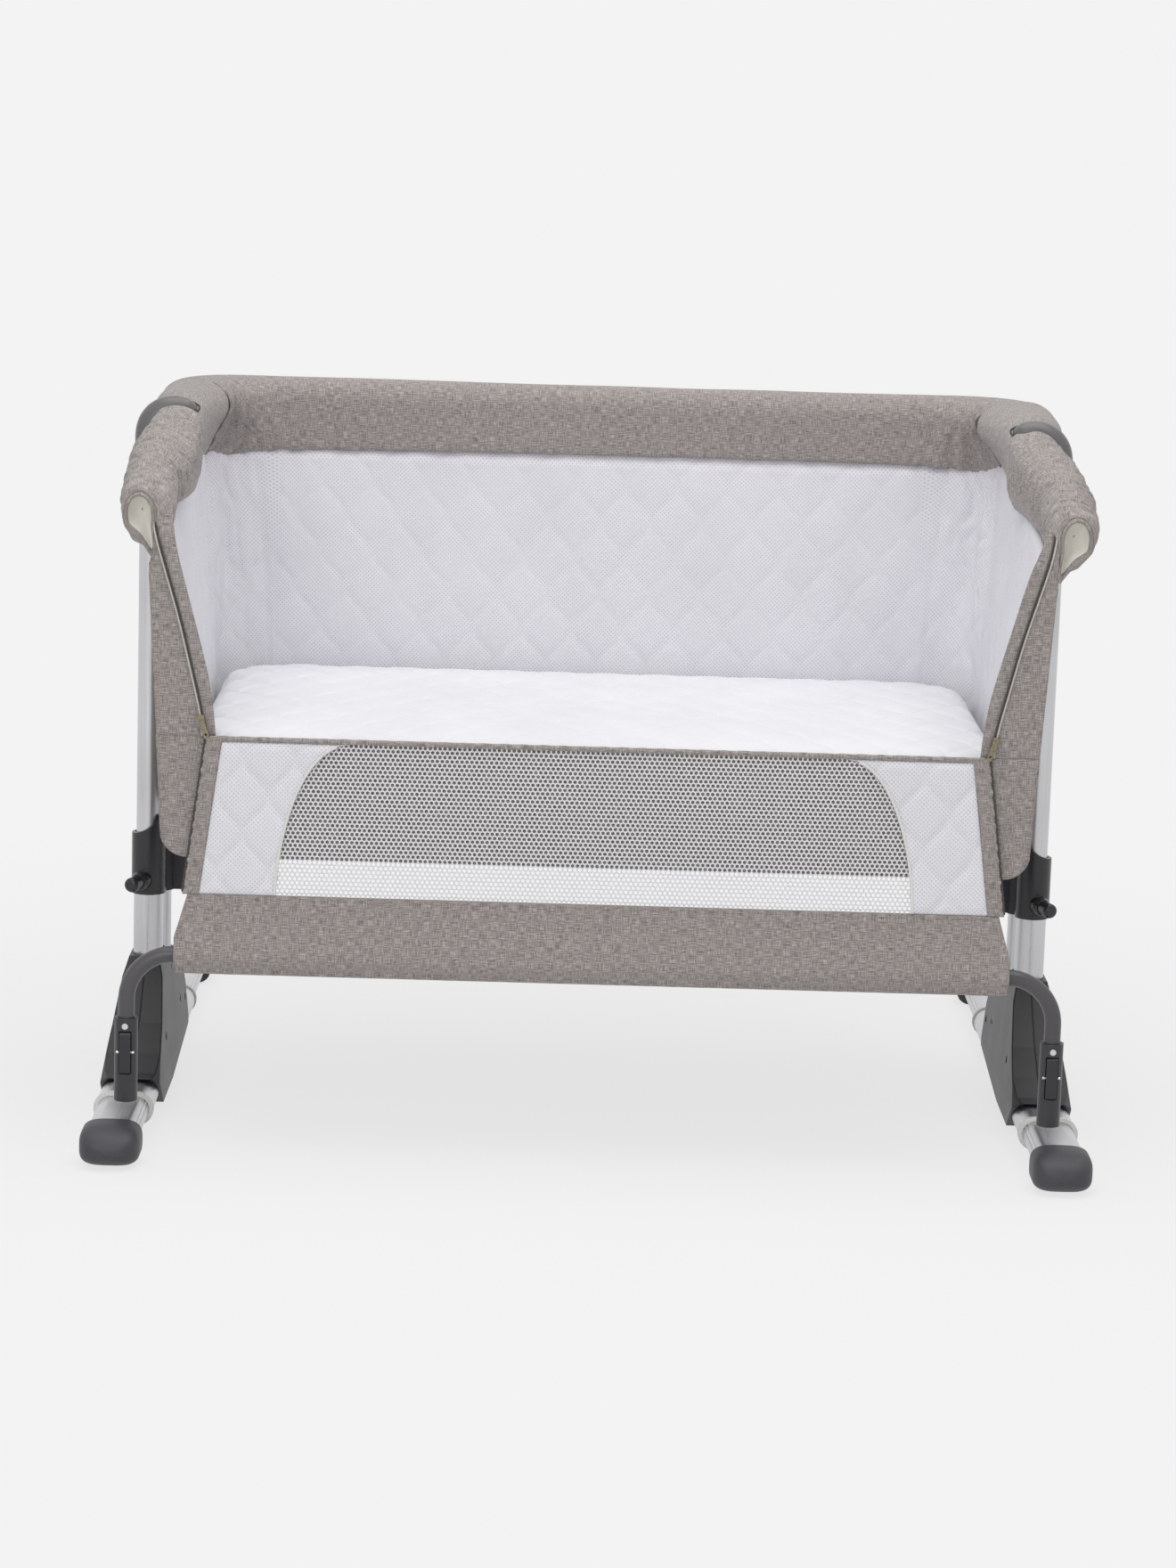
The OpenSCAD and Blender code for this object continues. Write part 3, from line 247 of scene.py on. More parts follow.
cap_finish = Finish("cap_rubber")
cap_place = cap_finish.place()
cap_grain = cap_finish.noise(cap_place, 1400.0, 3.0, 0.7)
cap_dust = cap_finish.noise(cap_place, 28.0, 4.0, 0.6)
cap_rubber = cap_finish.surface(
    cap_finish.ramp(cap_dust, (0.25, ink(56, 55, 60)), (0.8, ink(70, 68, 73))),
    0.42 + cap_dust * 0.18, cap_grain, 0.00006)

# Leg hubs. Two moulded shells of fine-grained dark plastic close round the foot tube
# and the posts, and four screws pull them together from the inner side.


def moulded(name, dark, light, roughness, grain, edge):
    """Moulded plastic with a fine spark-eroded grain."""
    finish = Finish(name)
    place = finish.place()
    pits = finish.noise(place, grain, 2.0, 0.6)
    clouds = finish.noise(place, 14.0, 3.0, 0.6)
    scuffs = finish.noise(finish.stretch(place, (60, 60, 400)), 1.0, 4.0, 0.7)
    colour = finish.ramp(clouds * 0.7 + scuffs * 0.3, (0.25, dark), (0.75, light))
    return finish.surface(colour, roughness + clouds * 0.12, pits, 0.00004, edge)


grey_plastic = moulded("hub_plastic", ink(22, 21, 25), ink(32, 31, 35), 0.36, 1600.0, 0.0025)
dress(grey_plastic, *both("hub_outer", "hub_inner"))

screw_steel = grained("screw_steel", ink(196, 197, 199), ink(222, 222, 224), 900.0, 0.24, 0.00001,
                      0.15, 0.0003, {"Metallic": 1.0}, low=0.2)
dress(screw_steel, "hub_screws", "bracket_bolts", "connector_pins")

# Posts. A wide lower tube stands in each hub and a narrower one slides up in it; a
# second tube behind them guides the bed. All are satin aluminium.
post_metal = satin_aluminium("post_aluminium", (900, 900, 12))
dress(post_metal, *both("lower_post", "upper_post", "slide_tube"))

# Collars. A glossy moulded collar sits on each lower post, and carries the spring
# pin with its round knob that locks the height.
gloss_plastic = moulded("collar_plastic", ink(34, 33, 37), ink(44, 43, 47), 0.2, 700.0, 0.0015)
dress(gloss_plastic, *both("collar", "pull_pin"))

# Brackets, base frame and board. Dark brackets tie the guide tubes to the painted
# frame under the mattress, which carries a plain board.
bracket_plastic = moulded("bracket_plastic", ink(50, 48, 52), ink(60, 58, 62), 0.5, 1300.0, 0.0015)
dress(bracket_plastic, *both("bracket"))

paint_finish = Finish("tube_paint")
paint_place = paint_finish.place()
peel = paint_finish.noise(paint_place, 320.0, 2.0)
haze = paint_finish.noise(paint_place, 20.0, 3.0)
tube_paint = paint_finish.surface(
    paint_finish.ramp(haze, (0.3, ink(70, 68, 71)), (0.7, ink(80, 78, 81))),
    0.26 + haze * 0.1, peel, 0.00003, 0.0006)
dress(tube_paint, "base_frame", "top_rail")

board_finish = Finish("board_fibre")
board_place = board_finish.place()
fibres = board_finish.noise(board_finish.stretch(board_place, (300, 700, 700)), 1.0, 4.0, 0.7)
flecks = board_finish.noise(board_place, 160.0, 4.0, 0.8)
dress(board_finish.surface(
    board_finish.ramp(fibres * 0.5 + flecks * 0.5, (0.3, ink(176, 158, 132)), (0.7, ink(204, 188, 162))),
    0.7 + fibres * 0.15, fibres, 0.0001, 0.0005), "base_board")

# Rail sleeves. Padded bands of melange cloth are drawn over the rail and run together by
# gathers. The side ones are slit for the elbow and end in an open mouth, piped round its
# rim and lined with cream cloth.
rail_z, rail_back, corner_radius = 0.684, 0.247, 0.060
rail_dip = (0.430, -0.040, rail_z)
mouth = (0.440, -0.262, 0.617)
elbow_y = -0.006


def melange_cloth(name, dark, middle, light, sheen):
    """A plain weave of two-tone yarns, dark and light by turns along each thread."""
    finish = Finish(name)
    cloth = finish.cloth_place()
    across = finish.noise(finish.stretch(cloth, (110, 1500, 1)), 1.0, 2.0, 0.5)
    along = finish.noise(finish.stretch(cloth, (1500, 110, 1)), 1.0, 2.0, 0.5)
    yarn = across * 0.56 + along * 0.44
    colour = finish.ramp(yarn, (0.38, dark), (0.5, middle), (0.62, light))
    warp, weft = [finish.node("ShaderNodeTexWave", {"bands_direction": way},
                              {"Vector": cloth, "Scale": 260.0}, "Fac") for way in "XY"]
    return finish.surface(colour, 0.94 + yarn * 0.05, warp * weft + yarn, 0.00022, 0.0, {
        "Sheen Weight": sheen, "Sheen Roughness": 0.6})


melange = melange_cloth("melange_weave", ink(112, 105, 102), ink(150, 142, 139), ink(188, 181, 177), 0.2)

cream_finish = Finish("cream_lining")
cream_place = cream_finish.cloth_place()
cream_weave = cream_finish.noise(cream_finish.stretch(cream_place, (900, 900, 1)), 1.0, 2.0)
cream_lining = cream_finish.surface(
    cream_finish.ramp(cream_weave, (0.3, ink(232, 229, 221)), (0.7, ink(243, 241, 235))),
    0.9 + cream_weave * 0.05, cream_weave, 0.00015)

# Dark thread of the zip teeth. The same dark finish also makes the painted shade round each elbow arm where it
# goes into its sleeve.
dark_thread_and_gap_shade = grained("dark_thread_and_gap_shade", ink(62, 58, 58), ink(84, 79, 78), 1500.0, 0.85, 0.0001, detail=2.0)


def sew(name, body, slot, points, faces, finishes, cloth=None, grow=0.0, lining=0, dressed=None):
    """A piece of cloth from points and faces. grow is its thickness, laid to the inside,
    and dressed gives each face its finish."""
    points = np.asarray(points).reshape(-1, 3) + (0, set_back, 0)
    mesh = bpy.data.meshes.new(name)
    mesh.from_pydata(points.tolist(), [], faces)
    for finish in finishes:
        mesh.materials.append(finish)
    if dressed is not None:
        mesh.polygons.foreach_set("material_index", np.asarray(dressed, dtype=np.int32))
    if cloth is not None:
        corners = np.empty(len(mesh.loops), dtype=np.int32)
        mesh.loops.foreach_get("vertex_index", corners)
        layer = mesh.uv_layers.new(name="cloth")
        layer.data.foreach_set("uv", np.asarray(cloth).reshape(-1, 2)[corners].ravel())
    mesh.shade_smooth()
    piece = bpy.data.objects.new(name, mesh)
    scene.collection.objects.link(piece)
    if grow:
        thick = piece.modifiers.new("thickness", "SOLIDIFY")
        thick.thickness = grow
        thick.offset = -1
        thick.material_offset = lining
    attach(piece, body)
    return piece


def quads(rows, columns, closed=False, flip=False):
    """Faces of a grid whose points are stored row by row."""
    faces = []
    for row in range(rows - 1):
        for column in range(columns if closed else columns - 1):
            after = (column + 1) % columns
            face = (row * columns + column, row * columns + after,
                    (row + 1) * columns + after, (row + 1) * columns + column)
            faces.append(face[::-1] if flip else face)
    return faces


def run_length(line):
    """Distance along a line of points, from its start to each of them."""
    return np.concatenate([[0], np.cumsum(np.linalg.norm(np.diff(line, axis=0), axis=1))])


def even(line, count, closed=False):
    """The same line or ring with its points spread evenly."""
    line = np.array(line, dtype=float)
    if closed:
        line = np.vstack([line, line[:1]])
    along = run_length(line)
    marks = np.linspace(0, along[-1], count, endpoint=not closed)
    return np.column_stack([np.interp(marks, along, line[:, k]) for k in range(line.shape[1])])


def soften(line, times, closed=False):
    """Eases the corners of a line off."""
    for _ in range(times):
        if closed:
            line = (np.roll(line, 1, 0) + 2 * line + np.roll(line, -1, 0)) / 4
        else:
            line[1:-1] = (line[:-2] + 2 * line[1:-1] + line[2:]) / 4
    return line


def gathers(along, around, seed, pitch):
    """Crosswise creases of cloth drawn together along its length, from -1 to 1."""
    chance = np.random.default_rng(seed)
    total = 0
    for scale, weight in ((1.0, 0.45), (0.53, 0.25), (2.4, 0.3)):
        drift = 0
        for _ in range(4):
            across, lengthwise = chance.uniform(20, 90), chance.uniform(10, 60)
            drift = drift + 0.28 * np.sin(lengthwise * along + across * around + chance.uniform(0, 6.3))
        total = total + weight * (2 * np.abs(np.sin(np.pi * (along / (pitch * scale) + drift))) - 0.9)
    return total


# The sleeve of each side: how far out its line runs behind, then in millimetres, by how far
# in front of the drawing's line, its outer and inner half widths, its height, and the depth
# and place of its lower inner edge. It is drawn in round the elbow, and the sides differ.
rear_x = {"left": 0.433, "right": 0.441}
side_fit = {
    "left": np.array([
        (-187, 30, 40, 25, 58, -13), (-100, 29, 30, 25, 53, -15), (-40, 26, 28, 24, 50, -19),
        (-10, 17.5, 27, 14.5, 50, -24), (36, 16.5, 28, 13, 50, -27), (70, 21, 29, 16, 49, -28.5),
        (110, 26, 32.5, 20.5, 42, -31), (150, 25, 33.5, 23.5, 30, -31), (180, 23, 23.5, 24.5, 30, -17),
        (225, 19.5, 29, 24, 34, -24), (262, 17.5, 33, 22.5, 40, -28)]) / 1000,
    "right": np.array([
        (-187, 34, 48, 26, 50, -12), (-100, 34, 37, 26, 50, -16), (-40, 29, 31, 24, 50, -20),
        (-10, 18, 27, 14.5, 50, -25), (36, 17, 25.5, 13, 52, -24), (70, 23, 26, 16, 53, -23),
        (110, 30, 24, 22, 43, -20), (180, 34, 16, 25, 30, -13), (225, 30, 16, 24, 32, -13),
        (262, 25, 19, 22.5, 40, -15)]) / 1000}
# The back sleeve, by distance from where it joins a side sleeve
back_fit = np.array([
    (0, 32, 44, 25.5, 54, -17), (24, 30, 43, 25, 56, -11), (47, 28, 37, 25, 58, -16),
    (70, 26, 39, 25, 56, -19), (94, 25, 35, 25, 52, -21), (130, 24, 24, 25, 49, -21),
    (400, 23.5, 22.5, 24.5, 47, -20.5)]) / 1000
# The open mouth of each side sleeve: its middle, half width, rise and tip
mouth_fit = {"left": (-0.0005, 0.0155, 0.0220, (-0.0170, -0.0450)),
             "right": (0.0065, 0.0165, 0.0230, (-0.0110, -0.0430))}


def fitted(table, place):
    """The sizes of a sleeve's outline at a place, between the rows of its table."""
    return [np.interp(place, table[:, 0], table[:, k]) for k in range(1, 6)]


def arch(outer, inner, rise):
    """The upper part of an outline, from a little below its outer end to the same inside."""
    turns = np.radians(np.arange(-10, 191, 10))
    return np.column_stack([np.where(np.cos(turns) > 0, outer, inner) * np.cos(turns), rise * np.sin(turns)])


def band_outline(outer, inner, rise, drop, edge):
    """Outline of a sleeve across its line: round above, its inner side hanging straight."""
    return np.vstack([arch(outer, inner, rise), [
        (-0.99 * inner, -0.008), (0.4 * edge - 0.6 * inner, -0.45 * drop),
        (0.75 * edge - 0.25 * inner, -0.80 * drop), (edge, -drop), (edge + 0.012, -drop - 0.001),
        (0.5 * outer, -0.034), (0.85 * outer, -0.018)]])


def mouth_outline(middle, half, rise, tip):
    """Outline of a sleeve's open mouth: a drop with its tip below and inwards."""
    return np.vstack([arch(half, half, rise) + (middle, 0), [
        (middle - 0.96 * half, -0.012), (0.55 * (middle - half) + 0.45 * tip[0] - 0.001, 0.62 * tip[1]),
        (tip[0] - 0.0015, 0.88 * tip[1]), tip, (tip[0] + 0.0045, 0.86 * tip[1]),
        (0.5 * tip[0] + 0.5 * middle + 0.42 * half, 0.55 * tip[1]), (middle + 0.90 * half, -0.013)]])


ring_count = 84


def smooth_ring(outline, times):
    """An outline as an even ring of ring_count points, its corners eased off."""
    return soften(even(outline, ring_count, closed=True), times, closed=True)


def unit(vectors):
    """The same directions, each of length 1."""
    return vectors / np.linalg.norm(vectors, axis=-1, keepdims=True)


def sweep(line, rings, swell):
    """Sets one outline at each point of a line, upright. swell(along, around) goes outwards."""
    tangents = unit(np.gradient(line, axis=0))
    out = unit(np.cross([0, 0, 1], tangents))
    up = np.cross(tangents, out)
    side = np.roll(rings, -1, 1) - np.roll(rings, 1, 1)
    normal = unit(np.stack([side[..., 1], -side[..., 0]], axis=-1))
    around = np.array([run_length(np.vstack([ring, ring[:1]]))[:-1] for ring in rings])
    along = np.repeat(run_length(line)[:, None], rings.shape[1], axis=1)
    grown = rings + normal * swell(along, around)[..., None]
    points = line[:, None] + grown[..., :1] * out[:, None] + grown[..., 1:] * up[:, None]
    return points, np.stack([along, around], axis=-1)


quarter = np.linspace(0, math.pi / 2, 13)
corner_in = corner_radius * (1 - np.sin(quarter))
corner_fore = rail_back - corner_radius * (1 - np.cos(quarter))
back_run = [(corner_in[k] - rear_x["left"], corner_fore[k], rail_z) for k in range(12, -1, -1)]
back_run += [(rear_x["right"] - corner_in[k], corner_fore[k], rail_z) for k in range(13)]
back_length = run_length(np.array(back_run))[-1]
back_line = soften(even(back_run, int(back_length / 0.0030)), 4)


def seam_hold(share):
    """How little cloth can swell, by its place round the sleeve: the lower seam holds it flat."""
    return 0.35 + 0.65 * np.clip(np.abs(share - 0.80) / 0.12, 0, 1)


def back_swell(along, around):
    """Folds of the back sleeve, on its face and near its ends, with one deeper fold at the right."""
    from_end = np.minimum(along, back_length - along)
    near_corner = np.exp(-((from_end - 0.085) / 0.055) ** 2)
    share = around / around.max()
    face = 0.04 + 0.96 * np.exp(-((share - 0.51) / 0.11) ** 2)
    slow = 0.0009 * np.sin(along * 31 + 1.3 * np.sin(along * 11)) * np.exp(-((around - 0.075) / 0.03) ** 2)
    slant = along + 0.16 * around
    deep = -0.0016 * np.exp(-((back_length - along - 0.100 - 0.05 * (around - 0.06)) / 0.0032) ** 2)
    return face * seam_hold(share) * (
        deep + (0.0004 + 0.0034 * near_corner) * gathers(slant, around, 3, 0.030)
        + (0.0001 + 0.0011 * near_corner) * gathers(slant, around, 4, 0.0115)) + slow


rings = []
for distance in run_length(back_line):
    fit = fitted(back_fit, min(distance, back_length - distance))
    fit[3] += 0.004 * (0.5 - distance / back_length)
    rings.append(smooth_ring(band_outline(*fit), 2))
points, cloth = sweep(back_line, np.array(rings), back_swell)
back_sleeve = sew("back_sleeve_cover", "bed", "melange_cloth", points,
                  quads(len(back_line), ring_count, closed=True), [melange, cream_lining], cloth, 0.003, 1)
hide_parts("back_sleeve")

# Front end of a side sleeve: how far each ring lies behind the rim, how far it has turned
# from the full outline to that of the mouth, and how wide and high it then is. The cloth
# rolls in to a sewn groove, over a piped rim and back inside as cream lining.
mouth_rings = np.array([
    (0.0200, 0.02, 1, 1), (0.0165, 0.10, 1, 1), (0.0130, 0.24, 1, 1), (0.0098, 0.42, 1, 1),
    (0.0072, 0.62, 1, 1), (0.0054, 0.80, 0.995, 1), (0.0044, 0.93, 0.985, 0.995), (0.0040, 1, 0.960, 0.985),
    (0.0044, 1, 0.920, 0.970), (0.0036, 1, 0.900, 0.965), (0.0018, 1, 0.905, 0.965), (0.0003, 1, 0.880, 0.955),
    (0, 1, 0.835, 0.920), (0.0008, 1, 0.785, 0.870), (0.0028, 1, 0.750, 0.820), (0.0080, 1, 0.730, 0.790),
    (0.0140, 1, 0.680, 0.740), (0.0200, 1, 0.520, 0.600), (0.0240, 1, 0.260, 0.320), (0.0252, 1, 0.030, 0.040)])
first_cream_ring = 15
# The slit for the elbow: its half width, where its round inner end starts and how round it is,
# and how far below the sleeve's line it reaches on the outer side
slit_half, slit_end, slit_ease, slit_low = 0.0085, -0.012, 0.005, -0.010
elbow_x = 0.4320
for side, sign in (("left", -1), ("right", 1)):
    side_line = soften(even([(rear_x[side], rail_back - corner_radius, rail_z), (elbow_x, elbow_y, rail_z),
                             rail_dip, mouth], 214), 60)
    rings = [smooth_ring(band_outline(*fitted(side_fit[side], -y)), 1) for y in side_line[:, 1]]
    rings = soften(np.array(rings).reshape(len(rings), -1), 8).reshape(len(rings), ring_count, 2)
    to_rim = run_length(side_line)[-1] - run_length(side_line)
    body_count = int(np.argmin(np.abs(to_rim - mouth_rings[0, 0] - 0.002)))

    def side_swell(along, around):
        share = around / around.max()
        before_elbow = np.clip((along - 0.185) / 0.04, 0, 1)
        ruched = 0.25 + 0.95 * before_elbow * np.clip((0.50 - share) / 0.12, 0, 1)
        slant = along - 0.22 * around * before_elbow
        return seam_hold(share) * ruched * (0.0018 * gathers(slant, around, 11 + sign, 0.0150)
                                            + 0.0012 * gathers(slant, around, 15 + sign, 0.0066))

    body_line = side_line[:body_count]
    points, cloth = sweep(body_line, rings[:body_count], side_swell)
    forward = unit(side_line[-1] - side_line[-6])
    out = unit(np.cross([0, 0, 1], forward))
    up = np.cross(forward, out)
    loop = smooth_ring(mouth_outline(*mouth_fit[side]), 2)
    middle = np.array([mouth_fit[side][0], -0.004])
    last = np.stack([(points[-1] - body_line[-1]) @ out, (points[-1] - body_line[-1]) @ up], axis=-1)
    tips = []
    for behind, turned, wide, high in mouth_rings:
        ring = (1 - turned) * last + turned * loop
        ring = middle + (ring - middle) * [wide, high]
        centre = side_line[-1] - forward * behind
        upward = (1 - turned) * up + turned * np.array([0, 0.03, 0.98])
        tips.append(centre + ring[:, :1] * out + ring[:, 1:] * upward)
    tips = np.array(tips)
    tip_along = cloth[-1, 0, 0] + run_length(tips[:, 20])
    tip_cloth = np.stack([np.repeat(tip_along[:, None], ring_count, axis=1),
                          np.repeat(cloth[-1:, :, 1], len(tips), axis=0)], axis=-1)
    points = np.concatenate([points, tips])
    cloth = np.concatenate([cloth, tip_cloth])
    faces = np.array(quads(len(points), ring_count, closed=True))
    cream = np.arange(len(faces)) // ring_count >= body_count + first_cream_ring
    relative = points - np.concatenate([body_line, np.repeat(side_line[-1:], len(tips), axis=0)])[:, None]
    across = (points.reshape(-1, 3)[faces].mean(axis=1)[:, 1] - elbow_y) / slit_half
    out_place, _, rise = relative.reshape(-1, 3)[faces].mean(axis=1).T
    inward = np.minimum(0, out_place - slit_end) / slit_ease
    whole = (rise < slit_low) | (across ** 2 + inward ** 2 > 1)
    sleeve = sew(f"side_sleeve_cover_{side}", "bed", "melange_cloth", points * [sign, 1, 1],
                 faces[whole][:, ::sign].tolist(), [melange, cream_lining], cloth, dressed=cream[whole])
    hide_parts(f"side_sleeve_{side}")

# Elbows. A smooth moulded arm comes out of a slit in each sleeve, lies over its
# top and turns down round the head of the post. A thin dark cord along the arm where it
# goes into the cloth is painted shade of that gap.


def loft(rings, flip=False):
    """Points and faces of a solid through a row of rings, closed at both ends."""
    rows, columns = rings.shape[:2]
    first, last = tuple(range(columns)), tuple(range((rows - 1) * columns, rows * columns))
    ends = [first, last[::-1]] if flip else [first[::-1], last]
    return rings.reshape(-1, 3), quads(rows, columns, closed=True, flip=flip) + ends


def squared_ring(count, power):
    """A ring between an ellipse and a rectangle, as shares of its two half sizes."""
    turns = np.linspace(0, 2 * np.pi, count, endpoint=False)
    ends = np.stack([np.cos(turns), np.sin(turns)])
    return np.sign(ends) * np.abs(ends) ** power


def tube_along(line, radius, count=10):
    """Points and faces of a round cord along a line."""
    line = np.array(line)
    tangents = unit(np.gradient(line, axis=0))
    first = unit(np.cross(tangents, [0, 1, 0]))
    second = np.cross(tangents, first)
    turns = np.linspace(0, 2 * np.pi, count, endpoint=False)
    return loft(line[:, None] + radius * (np.cos(turns)[None, :, None] * first[:, None]
                                          + np.sin(turns)[None, :, None] * second[:, None]))


def bunch(parts):
    """Several sets of points and faces as one."""
    points, faces, start = [], [], 0
    for some_points, some_faces in parts:
        points.append(np.asarray(some_points).reshape(-1, 3))
        faces += [tuple(corner + start for corner in face) for face in some_faces]
        start += len(points[-1])
    return np.vstack(points), faces


# The arm's upper and lower line, as (x, z) from its hidden end down to the post, and its half width
arm_over = np.array([(0.4090, 0.6975), (0.4150, 0.7050), (0.4300, 0.7085), (0.4450, 0.7062), (0.4580, 0.6985),
                     (0.4670, 0.6865), (0.4705, 0.6735), (0.4705, 0.6580), (0.4700, 0.6360)])
arm_under = np.array([(0.4090, 0.6890), (0.4150, 0.6865), (0.4260, 0.6855), (0.4335, 0.6810),
                      (0.4360, 0.6740), (0.4358, 0.6670), (0.4352, 0.6610), (0.4350, 0.6550), (0.4350, 0.6360)])
arm_half = np.array([0.0040, 0.0100, 0.0120, 0.0130, 0.0140, 0.0155, 0.0168, 0.0175, 0.0175])
elbow_plastic = moulded("elbow_plastic", ink(94, 92, 93), ink(106, 104, 105), 0.26, 900.0, 0.0)
post_x, bore_radius, bore_depth = 0.4525, 0.0132, 0.0205
slit_shade_parts = []
for side, sign in (("left", -1), ("right", 1)):
    stations = soften(even(np.column_stack([arm_over, arm_under, arm_half]), 56), 10)
    over, under, half = stations[:, :2], stations[:, 2:4], stations[:, 4]
    bulge, wide = squared_ring(40, 0.9)
    middle_xz = (over + under) / 2
    reach = (over - under) / 2
    rings = np.stack([middle_xz[:, None, 0] + reach[:, None, 0] * bulge, elbow_y + half[:, None] * wide,
                      middle_xz[:, None, 1] + reach[:, None, 1] * bulge], axis=-1)
    bore = np.stack([post_x + bore_radius * bulge, elbow_y + bore_radius * wide,
                     np.full(40, arm_over[-1, 1])], axis=-1)
    rings = np.concatenate([rings, bore[None], bore[None] + (0, 0, bore_depth)]) * [sign, 1, 1]
    elbow = sew(f"elbow_arm_{side}", "bed", "dark_plastic", *loft(rings, sign > 0), [elbow_plastic])
    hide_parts(f"elbow_{side}")
    # Painted shade: a thin dark cord along the arm's back flank and round its hidden end, where the arm goes
    # into the cloth.
    hook = np.array([(0.4330, elbow_y + 0.0115, 0.7030), (0.4230, elbow_y + 0.0108, 0.7040),
                     (0.4130, elbow_y + 0.0085, 0.7005), (0.4065, elbow_y + 0.0020, 0.6975),
                     (0.4065, elbow_y - 0.0050, 0.6940), (0.4095, elbow_y - 0.0085, 0.6920)])
    slit_shade_parts.append(tube_along(soften(even(hook, 40), 6) * [sign, 1, 1], 0.0011))
sew("elbow_slit_shade_cord", "bed", "melange_cloth", *bunch(slit_shade_parts), [dark_thread_and_gap_shade])

# Foot caps. Moulded dark rubber, pushed over the end of each sliding foot, with a rounded
# nose that lifts a little off the floor.


def read_points(mesh):
    points = np.empty(len(mesh.vertices) * 3)
    mesh.vertices.foreach_get("co", points)
    return points.reshape(-1, 3)


# Height of the nose, where the sole and the sides start to curve in, as shares of the length,
# and the clearance round the foot
nose_z, sole_end, round_end, cap_slack = 0.017, 0.34, 0.45, 0.0003


def round_off(share, start, power):
    """1 up to a share of the length, from there round to almost 0 at the nose."""
    return (1 - np.clip((share - start) / (1 - start), 0, 1) ** power) ** (1 / power) * 0.995 + 0.005


for end, toward in (("front", -1), ("rear", 1)):
    for side in ("left", "right"):
        boxes = [read_points(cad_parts[f"{end}_{kind}_{side}"].data) for kind in ("cap", "foot")]
        low, foot_low = [box.min(axis=0) for box in boxes]
        high, foot_high = [box.max(axis=0) for box in boxes]
        opening, nose, foot_end = high[1], low[1], foot_low[1]
        if toward > 0:
            opening, nose, foot_end = low[1], high[1], foot_high[1]
        socket = ((foot_low + foot_high) / 2)[[0, 2]] + squared_ring(72, 2 / 3).T * (
            (foot_high - foot_low) / 2 + cap_slack)[[0, 2]]
        rings = [np.insert(socket, 1, y - set_back, axis=1) for y in (foot_end, opening)]
        for share in np.sin(np.linspace(0, np.pi / 2, 30)):
            tall, broad = round_off(share, sole_end, 2), round_off(share, round_end, 2.6)
            lip = 1 - 0.03 * max(0, 1 - share / 0.05)
            top = nose_z + (high[2] - nose_z) * tall * lip
            bottom = nose_z - (nose_z - low[2]) * tall
            ring = np.array([(low[0] + high[0]) / 2, (top + bottom) / 2]) + squared_ring(72, 2 / 3.4).T * [
                (high[0] - low[0]) / 2 * broad * lip, (top - bottom) / 2]
            rings.append(np.insert(ring, 1, opening + (nose - opening) * share - set_back, axis=1))
        points, faces = loft(np.array(rings), toward > 0)
        # The sides are wound the other way from the two ends
        faces[:-2] = quads(len(rings), 72, closed=True, flip=toward < 0)
        cover = sew(f"{end}_cap_cover_{side}", f"foot_{end}_{side}", "foot_rubber", points, faces, [cap_rubber])
        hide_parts(f"{end}_cap_{side}")

# Cloth body. One melange wall runs round the back from front edge to front edge, hangs
# from the sleeves and turns in under the base frame. A floor cloth, a low fascia and two
# gussets close it; each gusset carries half a zip on its tape, and a piping beside it.
body_low, body_round, base_z = 0.290, 0.026, 0.328
body_x_low, body_x_top = 0.417, 0.433
body_front, body_rear, front_turn, cloth_thick = -0.262, 0.244, 0.003, 0.0024
seam_high, seam_low, seam_dip_y = 0.6396, 0.5702, -0.0335
fascia_top = 0.408
slot_x, slot_y, slot_half = 0.37, 0.038, 0.0056


def half_width(z):
    """Half width of the body's front, with its round lower corners."""
    low = body_x_low - body_round + np.sqrt(np.maximum(0, body_round ** 2 - (body_low + body_round - z) ** 2))
    straight = body_x_low + (body_x_top - body_x_low) * (z - base_z) / (mouth[2] - base_z)
    return np.where(z < body_low + body_round, low, straight)


def seam_z(y):
    """Height of the seam under a side sleeve."""
    return np.interp(y, [body_front, seam_dip_y, body_rear], [seam_low, seam_high, seam_high])


def drape(u, v, seed, length):
    """Slow uneven swells of hanging cloth, from about -1 to 1."""
    chance = np.random.default_rng(seed)
    total = 0
    for _ in range(9):
        turn, wave = chance.uniform(-0.7, 0.7), length * chance.uniform(0.6, 1.8)
        place = (u * np.cos(turn) + v * np.sin(turn)) / wave
        total = total + np.sin(2 * np.pi * place + chance.uniform(0, 6.3))
    return total / 4.5


def row_sheet(rows, left, right, columns, place, swell):
    """A flat sheet from rows of heights, each from its left to its right edge."""
    x = left[:, None] + (right - left)[:, None] * np.linspace(0, 1, columns)[None]
    z = np.repeat(rows[:, None], columns, axis=1)
    return np.stack([x, place + swell(x, z), z], axis=-1), np.stack([x, z], axis=-1)


def round_the_back(ys, corner_count, back_count, bend_x, side_x, back_y, square):
    """Places round the bed from the left front edge by the back to the right one. side_x
    gives each row's half width at each y, back_y its back, and square, from 1 down, how
    square its two corners are."""
    turns = np.linspace(0, math.pi / 2, corner_count + 2)[1:-1]
    right_x = np.concatenate([side_x, bend_x + (side_x[:, -1:] - bend_x) * np.cos(turns) ** square], axis=1)
    right_y = np.concatenate([np.repeat(ys[None], len(side_x), axis=0),
                              ys[-1] + (back_y[:, None] - ys[-1]) * np.sin(turns) ** square], axis=1)
    back = np.linspace(-bend_x, bend_x, back_count)
    x = np.concatenate([-right_x, np.repeat(back[None], len(side_x), axis=0), right_x[:, ::-1]], axis=1)
    y = np.concatenate([right_y, np.repeat(back_y[:, None], back_count, axis=1), right_y[:, ::-1]], axis=1)
    return x, y


def face_out(points):
    """Directions square to a grid of points, towards the side from which it is seen."""
    return unit(np.cross(np.gradient(points, axis=1), np.gradient(points, axis=0)))


